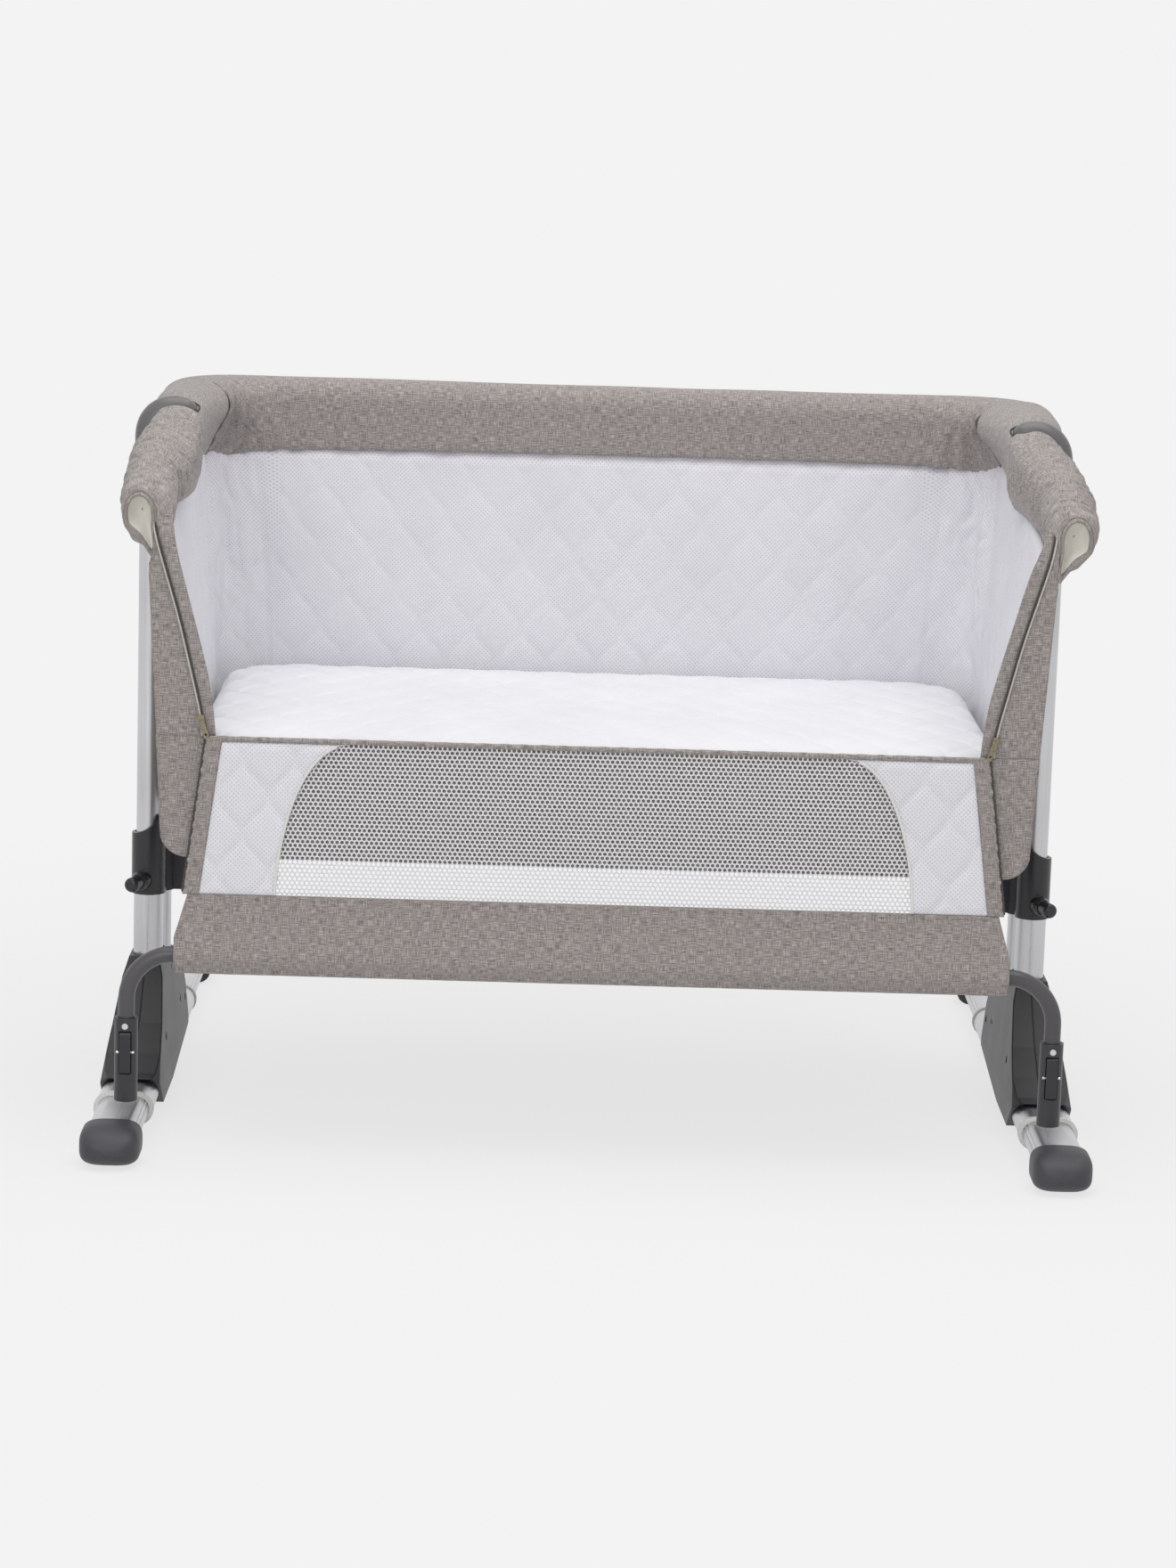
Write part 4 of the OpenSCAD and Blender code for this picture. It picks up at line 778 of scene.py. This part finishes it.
arc = np.linspace(0, math.pi / 2, 8)
bend_y = rail_back - corner_radius
ys = np.concatenate([np.linspace(body_front + front_turn, slot_y - slot_half, 62),
                     np.linspace(slot_y - slot_half, slot_y + slot_half, 4)[1:],
                     np.linspace(slot_y + slot_half, bend_y, 26)[1:]])
height = np.concatenate([np.zeros(1 + len(arc)), np.linspace(0, 1, 64)[1:]])[:, None]
inset = np.concatenate([[body_round + 0.008], body_round - body_round * np.sin(arc), np.zeros(63)])[:, None]
arc_z = body_low + body_round * (1 - np.cos(arc))
low_z = np.concatenate([[body_low], arc_z, np.full(63, body_low + body_round)])
wall_top_x = np.interp(ys, [body_front, seam_dip_y, 0.13, bend_y], [0.4304, 0.4343, 0.4365, 0.4365])
wall_x = body_x_low - inset + (wall_top_x[None] - body_x_low) * height
wall_back = (rail_back - inset + 0.004 * height)[:, 0]
grid_x, grid_y = round_the_back(ys, 14, 150, 0.357, wall_x, wall_back, 1 - 0.35 * height)
grid_z = low_z[:, None] + (seam_z(grid_y) - body_low - body_round) * height
points = np.stack([grid_x, grid_y, grid_z], axis=-1)
around = np.repeat(run_length(points[40])[None], len(points), axis=0)
upper = np.clip((grid_z - body_low - body_round) / 0.03, 0, 1)
pull = upper * (-0.0022 * np.sin(np.pi * height) + 0.0012 * drape(around, grid_z, 21, 0.15)
                + 0.0009 * np.clip(height - 0.6, 0, 1) * gathers(around + 0.05 * grid_z, grid_z, 22, 0.022))
points = points - face_out(points) * pull[..., None]
cloth = np.stack([around, run_length(points[:, 90])[:, None] + 0 * around], axis=-1)
faces = np.array(quads(*points.shape[:2], flip=True))
x, y, z = points.reshape(-1, 3)[faces].mean(axis=1).T
in_slot = (np.abs(y - slot_y) < slot_half) & (z < body_low + body_round) & (np.abs(x) > slot_x)
wall_piece = sew("body_wall_cloth", "bed", "melange_cloth", points, faces[~in_slot].tolist(), [melange],
                 cloth, cloth_thick)
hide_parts("side_wall_left", "side_wall_right", "back_wall")

floor_x = body_x_low - body_round - 0.008
floor_rows = np.linspace(body_front + front_turn, rail_back - body_round - 0.010, 60)
floor_x_marks = np.linspace(-floor_x, floor_x, 90)
grid_y, grid_x = np.meshgrid(floor_rows, floor_x_marks, indexing="ij")
corner_cut = np.clip((grid_y - 0.187) / 0.030, 0, 1)
grid_x = grid_x * (1 - 0.045 * corner_cut ** 2)
points = np.stack([grid_x, grid_y, body_low + 0.001 * drape(grid_x, grid_y, 8, 0.2)], axis=-1)
floor_cloth = sew("floor_cloth_sheet", "bed", "melange_cloth", points, quads(60, 90, flip=True), [melange],
                  points[..., :2], cloth_thick)
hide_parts("floor_cloth")

rows = np.concatenate([body_low + body_round - body_round * np.cos(arc),
                       np.linspace(body_low + body_round, fascia_top, 20)[1:]])
points, cloth = row_sheet(rows, -half_width(rows), half_width(rows), 170, body_front,
                          lambda x, z: 0.0004 * drape(x, z, 6, 0.12) + 0.0004)
fascia = sew("front_fascia_cloth", "bed", "melange_cloth", points, quads(len(rows), 170), [melange],
             cloth, cloth_thick)
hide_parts("front_fascia")


# Edge of the zip tape and line of the teeth, as (x, z) from the slider up to the mouth
tape_edge = np.array([(0.3645, 0.408), (0.3660, 0.430), (0.3717, 0.466), (0.3840, 0.513), (0.4045, 0.590)])
tape_top = {-1: [(0.4070, 0.610), (0.4090, 0.630)], 1: [(0.4150, 0.612), (0.4225, 0.632)]}
teeth_line = np.array([(0.3745, 0.408), (0.3755, 0.425), (0.3985, 0.521), (0.4190, 0.590), (0.4265, 0.620)])
outer_top = {-1: 0.4245, 1: 0.4300}


def dive(z):
    """How far a gusset goes back behind the mouth of its sleeve at its top."""
    return 0.012 * np.clip((z - 0.592) / 0.036, 0, 1) ** 1.6


rows = np.linspace(fascia_top, 0.628, 72)
gusset_parts, gusset_cloth, teeth_parts, piping_parts = [], [], [], []
for sign in (-1, 1):
    teeth_x, inner_x = [soften(np.interp(rows, line[:, 1], line[:, 0])[:, None], 30)[:, 0]
                        for line in (teeth_line, np.vstack([tape_edge, tape_top[sign]]))]
    outer_x = np.interp(rows, [0.560, 0.600], [outer_top[1], outer_top[sign]])
    outer_x = np.minimum(half_width(rows) - 0.0005, outer_x)

    def folds(x, z):
        groove = 0.0012 * np.exp(-((x - teeth_x[:, None]) / 0.0016) ** 2)
        return 0.0004 + 0.0004 * drape(x, z, 31, 0.1) + groove + dive(z)

    points, cloth = row_sheet(rows, inner_x, np.maximum(outer_x, inner_x + 0.003), 26, body_front, folds)
    gusset_parts.append((points * [sign, 1, 1], quads(72, 26, flip=sign < 0)))
    gusset_cloth.append((cloth * [sign, 1]).reshape(-1, 2))
    line = np.column_stack([sign * teeth_x, body_front - 0.0004 + dive(rows), rows])
    teeth_parts.append(tube_along(even(line, 150), 0.0009))
    piping_parts.append(tube_along(line + (sign * 0.0024, -0.0008, 0), 0.0009))
points, faces = bunch(gusset_parts)
gussets = sew("front_gusset_cloth", "bed", "melange_cloth", points, faces, [melange],
              np.vstack(gusset_cloth), cloth_thick)
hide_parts("front_gussets")
sew("gusset_zip_teeth", "bed", "melange_cloth", *bunch(teeth_parts), [dark_thread_and_gap_shade])

pale_cord = grained("pale_cord", ink(176, 171, 166), ink(204, 200, 195), 900.0, 0.8, 0.0002)
sew("gusset_piping_cord", "bed", "melange_cloth", *bunch(piping_parts), [pale_cord])

# Lining. White padding hangs inside the wall, round the back from front edge to front
# edge. It is pricked with fine dots, gathered into soft folds at the corners and tucked
# in under the sleeves.
mattress_z = 0.3503
lining_x, lining_back_y = 0.4036, 0.2286


def quilting(u, v, width=0.025, period=0.074):
    """Rise of quilted padding: 0 in its wavy stitched lines, up to 1 between them."""
    wave = 0.46 * np.sin(2 * np.pi * v / period)
    place = u / width
    gap = np.full(np.shape(place), np.inf)
    for step in (-1, 0, 1, 2):
        line = np.floor(place) + step
        gap = np.minimum(gap, np.abs(place - line - wave * np.where(line % 2 == 0, 1, -1)))
    return 1 - np.exp(-(gap / 0.2) ** 1.4)


def quilted_cloth(name, dark, light, dots, pitch):
    """Smooth pale cloth over padding, pricked with rows of fine dots."""
    finish = Finish(name)
    cloth = finish.cloth_place()
    fine = finish.noise(finish.stretch(cloth, (700, 700, 1)), 1.0, 2.0)
    soft = finish.noise(cloth, 9.0, 3.0)
    turned = finish.node("ShaderNodeVectorRotate", {"rotation_type": "Z_AXIS"},
                         {"Vector": cloth, "Angle": math.pi / 4})
    pricks = finish.node("ShaderNodeTexVoronoi", {"feature": "F1"}, {
        "Vector": turned, "Scale": 1 / pitch, "Randomness": 0.08}, "Distance")
    hole = finish.node("ShaderNodeMapRange", {"interpolation_type": "SMOOTHSTEP"}, {
        "Value": pricks, "From Min": 0.16, "From Max": 0.36, "To Min": 1.0, "To Max": 0.0}, "Result")
    colour = finish.ramp(fine * 0.4 + soft * 0.6, (0.3, dark), (0.7, light))
    shade = finish.blend(hole * dots, colour, ink(158, 156, 168))
    return finish.surface(shade, 0.9 + fine * 0.06, fine * 0.3 - hole * dots, 0.0004, 0.0, {
        "Sheen Weight": 0.1, "Sheen Roughness": 0.5})


quilt = quilted_cloth("quilted_lining", ink(225, 224, 229), ink(236, 235, 240), 0.45, 0.0030)


def pad(front, rise, normal, thick):
    """A closed pad: a padded front grid and a smooth back, drawn together at its edge."""
    rows, columns = front.shape[:2]
    row, column = np.meshgrid(np.arange(rows), np.arange(columns), indexing="ij")
    from_edge = np.minimum(np.minimum(row, rows - 1 - row), np.minimum(column, columns - 1 - column))
    swell = np.minimum(1, from_edge / 3.0) ** 0.5
    normal = np.array(normal, dtype=float)
    face = front + normal * (swell * rise)[..., None] - normal * ((1 - swell) * thick * 0.3)[..., None]
    back = front - normal * thick
    points = np.concatenate([face.reshape(-1, 3), back.reshape(-1, 3)])
    faces = quads(rows, columns)
    count = rows * columns
    faces += [tuple(corner + count for corner in quad[::-1]) for quad in quads(rows, columns)]
    number = np.arange(count).reshape(rows, columns)
    rim = [*number[0], *number[1:, -1], *number[-1, -2::-1], *number[-2:0:-1, 0]]
    for here, after in zip(map(int, rim), map(int, rim[1:] + rim[:1])):
        faces.append((after, here, here + count, after + count))
    return points, faces


ys = np.linspace(-0.2555, 0.166, 170)
height = np.linspace(0, 1, 112)[:, None]
lining_top_x = np.interp(ys, [body_front, seam_dip_y, 0.13, 0.166], [0.4205, 0.4215, 0.4215, 0.4215])
side_x = lining_x + (lining_top_x[None] - lining_x) * height ** 1.2
tucked = np.clip((height - 0.94) / 0.04, 0, 1)
back_y = (lining_back_y + 0.0015 * height + 0.009 * tucked)[:, 0]
grid_x, grid_y = round_the_back(ys, 40, 270, 0.341, side_x, back_y, 1 - 0.52 * height)
grid_z = mattress_z + (seam_z(grid_y) + 0.004 - mattress_z) * height
front = np.stack([grid_x, grid_y, grid_z], axis=-1)
around = np.repeat(run_length(front[60])[None], len(front), axis=0)
to_corner = np.minimum(np.abs(around - 0.470), np.abs(around[0, -1] - 0.470 - around))
near = np.exp(-(to_corner / 0.060) ** 2)
sides = np.clip((np.abs(grid_x) - 0.39) / 0.01, 0, 1)
hang = np.clip(height * 1.2, 0, 1) * (1 - 0.8 * tucked)
folds = (near * 0.0020 + sides * 0.0007) * hang * gathers(around + 0.03 * grid_z, grid_z, 43, 0.017)
folds = folds + (near * 0.0016 + sides * 0.0010 + 0.0006) * drape(around, grid_z * 0.3, 44, 0.05)
seam = -0.0016 * np.exp(-((to_corner - 0.052) / 0.0012) ** 2)
flat_rise = 0.0016 + folds + seam + 0.0011 * quilting(around, grid_z, 0.027, 0.078)
points, faces = pad(front, flat_rise, face_out(front), 0.0055)
cloth = np.tile(np.stack([around, grid_z], axis=-1).reshape(-1, 2), (2, 1))
lining = sew("lining_pad", "bed", "quilted_cloth", points, faces, [quilt], cloth)
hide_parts("lining_back", "lining_left", "lining_right")

# Mattress. A foam slab in a removable quilted cover, softly crowned, with round
# corners and a seamed edge.
mattress_cloth = quilted_cloth("mattress_cover", ink(221, 221, 225), ink(232, 232, 235), 0.08, 0.0030)


def swollen(name, node, voxel, cap, inward):
    """A CAD soft solid remeshed and blown up a little as cloth, as the start of a pad."""
    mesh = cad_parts[node].data.copy()
    mesh.name = name
    piece = bpy.data.objects.new(name, mesh)
    scene.collection.objects.link(piece)
    remesh = piece.modifiers.new("remesh", "REMESH")
    remesh.mode = "VOXEL"
    remesh.voxel_size = voxel
    bake_modifiers(piece)
    mesh = piece.data
    rest = read_points(mesh)
    middle = (rest.min(axis=0) + rest.max(axis=0)) / 2
    half = (rest.max(axis=0) - rest.min(axis=0)) / 2
    rest = middle + (rest - middle) * (1 - inward / half)
    mesh.vertices.foreach_set("co", rest.ravel())
    cloth = piece.modifiers.new("cloth", "CLOTH")
    cloth.settings.use_pressure = True
    cloth.settings.uniform_pressure_force = 4
    cloth.settings.effector_weights.gravity = 0
    cloth.settings.quality = 5
    cloth.point_cache.frame_start = 1
    cloth.point_cache.frame_end = 20
    for step in range(1, 21):
        scene.frame_set(step)
    bake_modifiers(piece)
    scene.frame_set(1)
    grown = read_points(piece.data)
    move = grown - rest
    far = np.linalg.norm(move, axis=1)[:, None]
    move *= np.minimum(1, cap / np.maximum(far, 1e-9))
    piece.data.vertices.foreach_set("co", (rest + move).ravel())
    fine = piece.modifiers.new("finer", "SUBSURF")
    fine.levels = 1
    fine.render_levels = 1
    bake_modifiers(piece)
    return piece


def bake_modifiers(piece):
    """Writes a piece's modifiers into its mesh."""
    shown = piece.evaluated_get(bpy.context.evaluated_depsgraph_get())
    mesh = bpy.data.meshes.new_from_object(shown)
    piece.modifiers.clear()
    piece.data = mesh


mattress = swollen("mattress_pad", "mattress", 0.005, 0.006, 0.003)
mattress_mesh = mattress.data
points = read_points(mattress_mesh)
normals = np.empty(len(points) * 3)
mattress_mesh.vertices.foreach_get("normal", normals)
normals = normals.reshape(-1, 3)
upright = np.clip((np.abs(normals[:, 2]) - 0.55) / 0.3, 0, 1)
top_height = quilting(points[:, 0], points[:, 1], 0.027, 0.078)
flat_bottom = np.where(normals[:, 2] < -0.3, 0, 1)
seam_height = 0.3503 + 0.047
edge_seam = np.exp(-((points[:, 2] - seam_height) / 0.0022) ** 2) * (1 - upright)
points += normals * ((0.0026 * top_height - 0.0012) * upright * flat_bottom - 0.0014 * edge_seam)[:, None]
points[:, 2] = np.maximum(points[:, 2], 0.3503)
mattress_mesh.vertices.foreach_set("co", points.ravel())
corners = np.empty(len(mattress_mesh.loops), dtype=np.int32)
mattress_mesh.loops.foreach_get("vertex_index", corners)
layer = mattress_mesh.uv_layers.new(name="cloth")
round_side = np.column_stack([points[:, 0] + points[:, 1], points[:, 2]])
flat = np.where(upright[:, None] > 0.5, points[:, :2], round_side)
layer.data.foreach_set("uv", flat[corners].ravel())
mattress_mesh.materials.clear()
mattress_mesh.materials.append(mattress_cloth)
mattress_mesh.shade_smooth()
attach(mattress, "bed")
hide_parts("mattress")

# Lowered front panel. It hangs from a rolled seam: two quilted wings and an open net
# between them, piped in white, bound in grey at the sides, over a hem round the bar.
hinge_y, hinge_z, seam_radius = -0.2649, 0.4065, 0.0026
panel_top = hinge_z - seam_radius - 0.0001
panel_front = hinge_y - 0.0015
hem_top, hem_low, bar_z, bar_radius = 0.255, 0.177, 0.195, 0.008
panel_top_x, panel_hem_x, panel_low_x, binding_width = 0.369, 0.389, 0.401, 0.0105
window_low_x, window_top_x = 0.305, 0.237
window_base = hem_top - 0.014


def edge_x(z):
    return panel_top_x + (panel_hem_x - panel_top_x) * (panel_top - z) / (panel_top - hem_top)


def window_x(z):
    """Half width of the net window at a height."""
    share = np.clip((z - window_base) / (panel_top - window_base), 0, 1)
    return window_top_x + (window_low_x - window_top_x) * np.sqrt(np.maximum(0, 1 - share ** 2))


rows = np.linspace(hem_top, panel_top, 66)
wing_parts, wing_cloth = [], []
for sign in (-1, 1):
    front, cloth = row_sheet(rows, window_x(rows), edge_x(rows) - binding_width, 52, panel_front,
                             lambda x, z: 0 * x)
    front, cloth = front * [sign, 1, 1], cloth * [sign, 1]
    points, faces = pad(front, 0.0022 * quilting(front[..., 0], front[..., 2]), (0, -1, 0), 0.003)
    wing_parts.append((points, faces if sign > 0 else [face[::-1] for face in faces]))
    wing_cloth.append(np.tile(cloth.reshape(-1, 2), (2, 1)))
wings = sew("quilted_wings", "panel", "quilted_cloth", *bunch(wing_parts), [quilt], np.vstack(wing_cloth))
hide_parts("panel_wings")

net_white = grained("net_thread", ink(222, 222, 226), ink(238, 238, 240), 1200.0, 0.6, 0.00005,
                    constants={"Sheen Weight": 0.1}, detail=2.0)
net_pitch = 0.0047
net_row = net_pitch * math.sqrt(3) / 2
hexagon = [math.radians(60 * turn + 30) for turn in range(6)]
net_points, net_faces = [], []
for row in range(int((panel_top - hem_top) / net_row) + 1):
    z = hem_top + 0.001 + row * net_row
    reach = float(window_x(z)) + 0.0005
    count = int(2 * reach / net_pitch) + 2
    for step in range(-count, count):
        x = (step + 0.5 * (row % 2)) * net_pitch
        if abs(x) > reach or z > panel_top - 0.001:
            continue
        base = len(net_points)
        for radius, depth in ((net_pitch * 0.582, 0.0), (net_pitch * 0.40, -0.00012)):
            net_points += [(x + radius * math.cos(angle), hinge_y + depth, z + radius * math.sin(angle))
                           for angle in hexagon]
        net_faces += [(base + t, base + (t + 1) % 6, base + 6 + (t + 1) % 6, base + 6 + t) for t in range(6)]
net = sew("net_window", "panel", "mesh_cloth", net_points, net_faces, [net_white], None, 0.0004)
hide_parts("mesh_window")

piping_white = grained("white_piping", ink(214, 214, 212), ink(230, 230, 228), 700.0, 0.75, 0.0002)
zs = np.linspace(hem_top + 0.001, panel_top - 0.002, 70)
lines = [np.column_stack([sign * (window_x(zs) + 0.001), np.full(70, panel_front - 0.0008), zs])
         for sign in (-1, 1)]
piping = sew("window_piping_cord", "panel", "piping", *bunch([tube_along(line, 0.0016) for line in lines]),
             [piping_white])
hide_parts("window_piping")

binding_parts, binding_cloth, edge_parts = [], [], []
ring = np.array([(-1.0, -0.6), (-1.0, 3.2), (-0.9, 3.6), (0.3, 3.6), (0.45, 3.0), (0.45, -0.2), (0.3, -0.7),
                 (-0.9, -0.8)]) * [binding_width, 0.001]
for sign in (-1, 1):
    zs = np.linspace(hem_top, hinge_z + 0.0015, 76)
    pucker = 0.0004 * np.sin(2 * np.pi * zs / 0.011) + 0.0003 * np.sin(2 * np.pi * zs / 0.017 + 1)
    x = (edge_x(zs)[:, None] + ring[None, :, 0] + pucker[:, None] * 0.5) * sign
    y = panel_front + ring[None, :, 1] - pucker[:, None] * (ring[None, :, 1] < 0)
    points = np.stack([x, y + 0 * x, np.repeat(zs[:, None], 8, axis=1)], axis=-1)
    binding_parts.append(loft(points, sign > 0))
    binding_cloth.append(np.stack([np.repeat(ring[None, :, 0] + ring[None, :, 1], 76, axis=0),
                                   np.repeat(zs[:, None], 8, axis=1)], axis=-1).reshape(-1, 2))
    zs = np.linspace(hem_top + 0.002, hinge_z, 150)
    rough = 0.0003 * np.sin(2 * np.pi * zs / 0.0047) + 0.0002 * np.sin(2 * np.pi * zs / 0.0031)
    line = np.column_stack([sign * (edge_x(zs) + 0.0052 + rough), np.full(150, panel_front + 0.0004), zs])
    edge_parts.append(tube_along(line, 0.0012))
xs = np.linspace(-panel_top_x, panel_top_x, 240)
roll_line = np.column_stack([xs, np.full(240, hinge_y), hinge_z + 0.0002 * np.sin(2 * np.pi * xs / 0.019)])
binding_parts.append(tube_along(roll_line, seam_radius, 12))
binding_cloth.append(np.stack([np.repeat(xs[:, None], 12, axis=1),
                               np.repeat(np.linspace(0, 0.016, 12)[None], 240, axis=0)], axis=-1).reshape(-1, 2))
bindings = sew("panel_binding_tape", "panel", "melange_cloth", *bunch(binding_parts),
               [melange], np.vstack(binding_cloth))
sew("panel_zip_teeth", "panel", "melange_cloth", *bunch(edge_parts), [dark_thread_and_gap_shade])
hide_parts("panel_bindings")

hem_radius = bar_radius + 0.0036
upper = [(-0.0020, hem_top), (-0.0026, hem_top - 0.006), (-0.0036, hem_top - 0.02)]
turns = np.radians(np.linspace(160, 290, 12))
lower = [(hem_radius * math.cos(turn), bar_z + hem_radius * math.sin(turn)) for turn in turns]
tail = [(-0.0024, hem_low + 0.004), (-0.0018, hem_low)]
ring = soften(even(upper + [spot for spot in lower if spot[0] < -0.003] + tail, 60), 6)
ring = np.vstack([ring, ring[::-1] * [-1, 1]])
# The hem widens from its top down to here, and is sewn through at two heights
widest_z, seam_heights = 0.214, (0.2505, 0.1815)
side_x = np.interp(ring[:, 1], [widest_z, hem_top], [panel_low_x, panel_hem_x])
x = np.linspace(-1, 1, 330)[:, None] * side_x[None]
z = ring[None, :, 1] + 0 * x
puff = np.clip(np.abs(ring[:, 0]) / 0.004, 0, 1)
sewn = sum(np.exp(-((ring[:, 1] - height) / 0.0009) ** 2) for height in seam_heights)
swell = -0.0009 * sewn[None] + puff * (0.0006 * drape(x, z, 61, 0.09) + 0.0005 * gathers(x, z, 62, 0.03))
points = np.stack([x, hinge_y + ring[None, :, 0] + np.sign(ring[None, :, 0]) * swell, z], axis=-1)
cloth = np.stack([x, run_length(ring)[None] + 0 * x], axis=-1)
hem = sew("hem_band", "panel", "melange_cloth", points, quads(330, len(ring), closed=True), [melange],
          cloth, 0.0012)
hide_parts("panel_hem")

# Front rail bar. A painted tube lies in the hem and turns down at both ends into
# plug-in connectors, each with a rivet and a rocker button.
dress(tube_paint, "front_bar")
connector_plastic = moulded("connector_plastic", ink(45, 44, 48), ink(55, 54, 58), 0.32, 900.0, 0.0015)
dress(connector_plastic, "connectors")
dress(gloss_plastic, *both("rocker"))

zip_metal = grained("zip_brass", ink(112, 104, 86), ink(156, 147, 124), 600.0, 0.3, 0.00002, 0.2, 0.0004,
                    {"Metallic": 1.0})
dress(zip_metal, *both("zip_slider"))
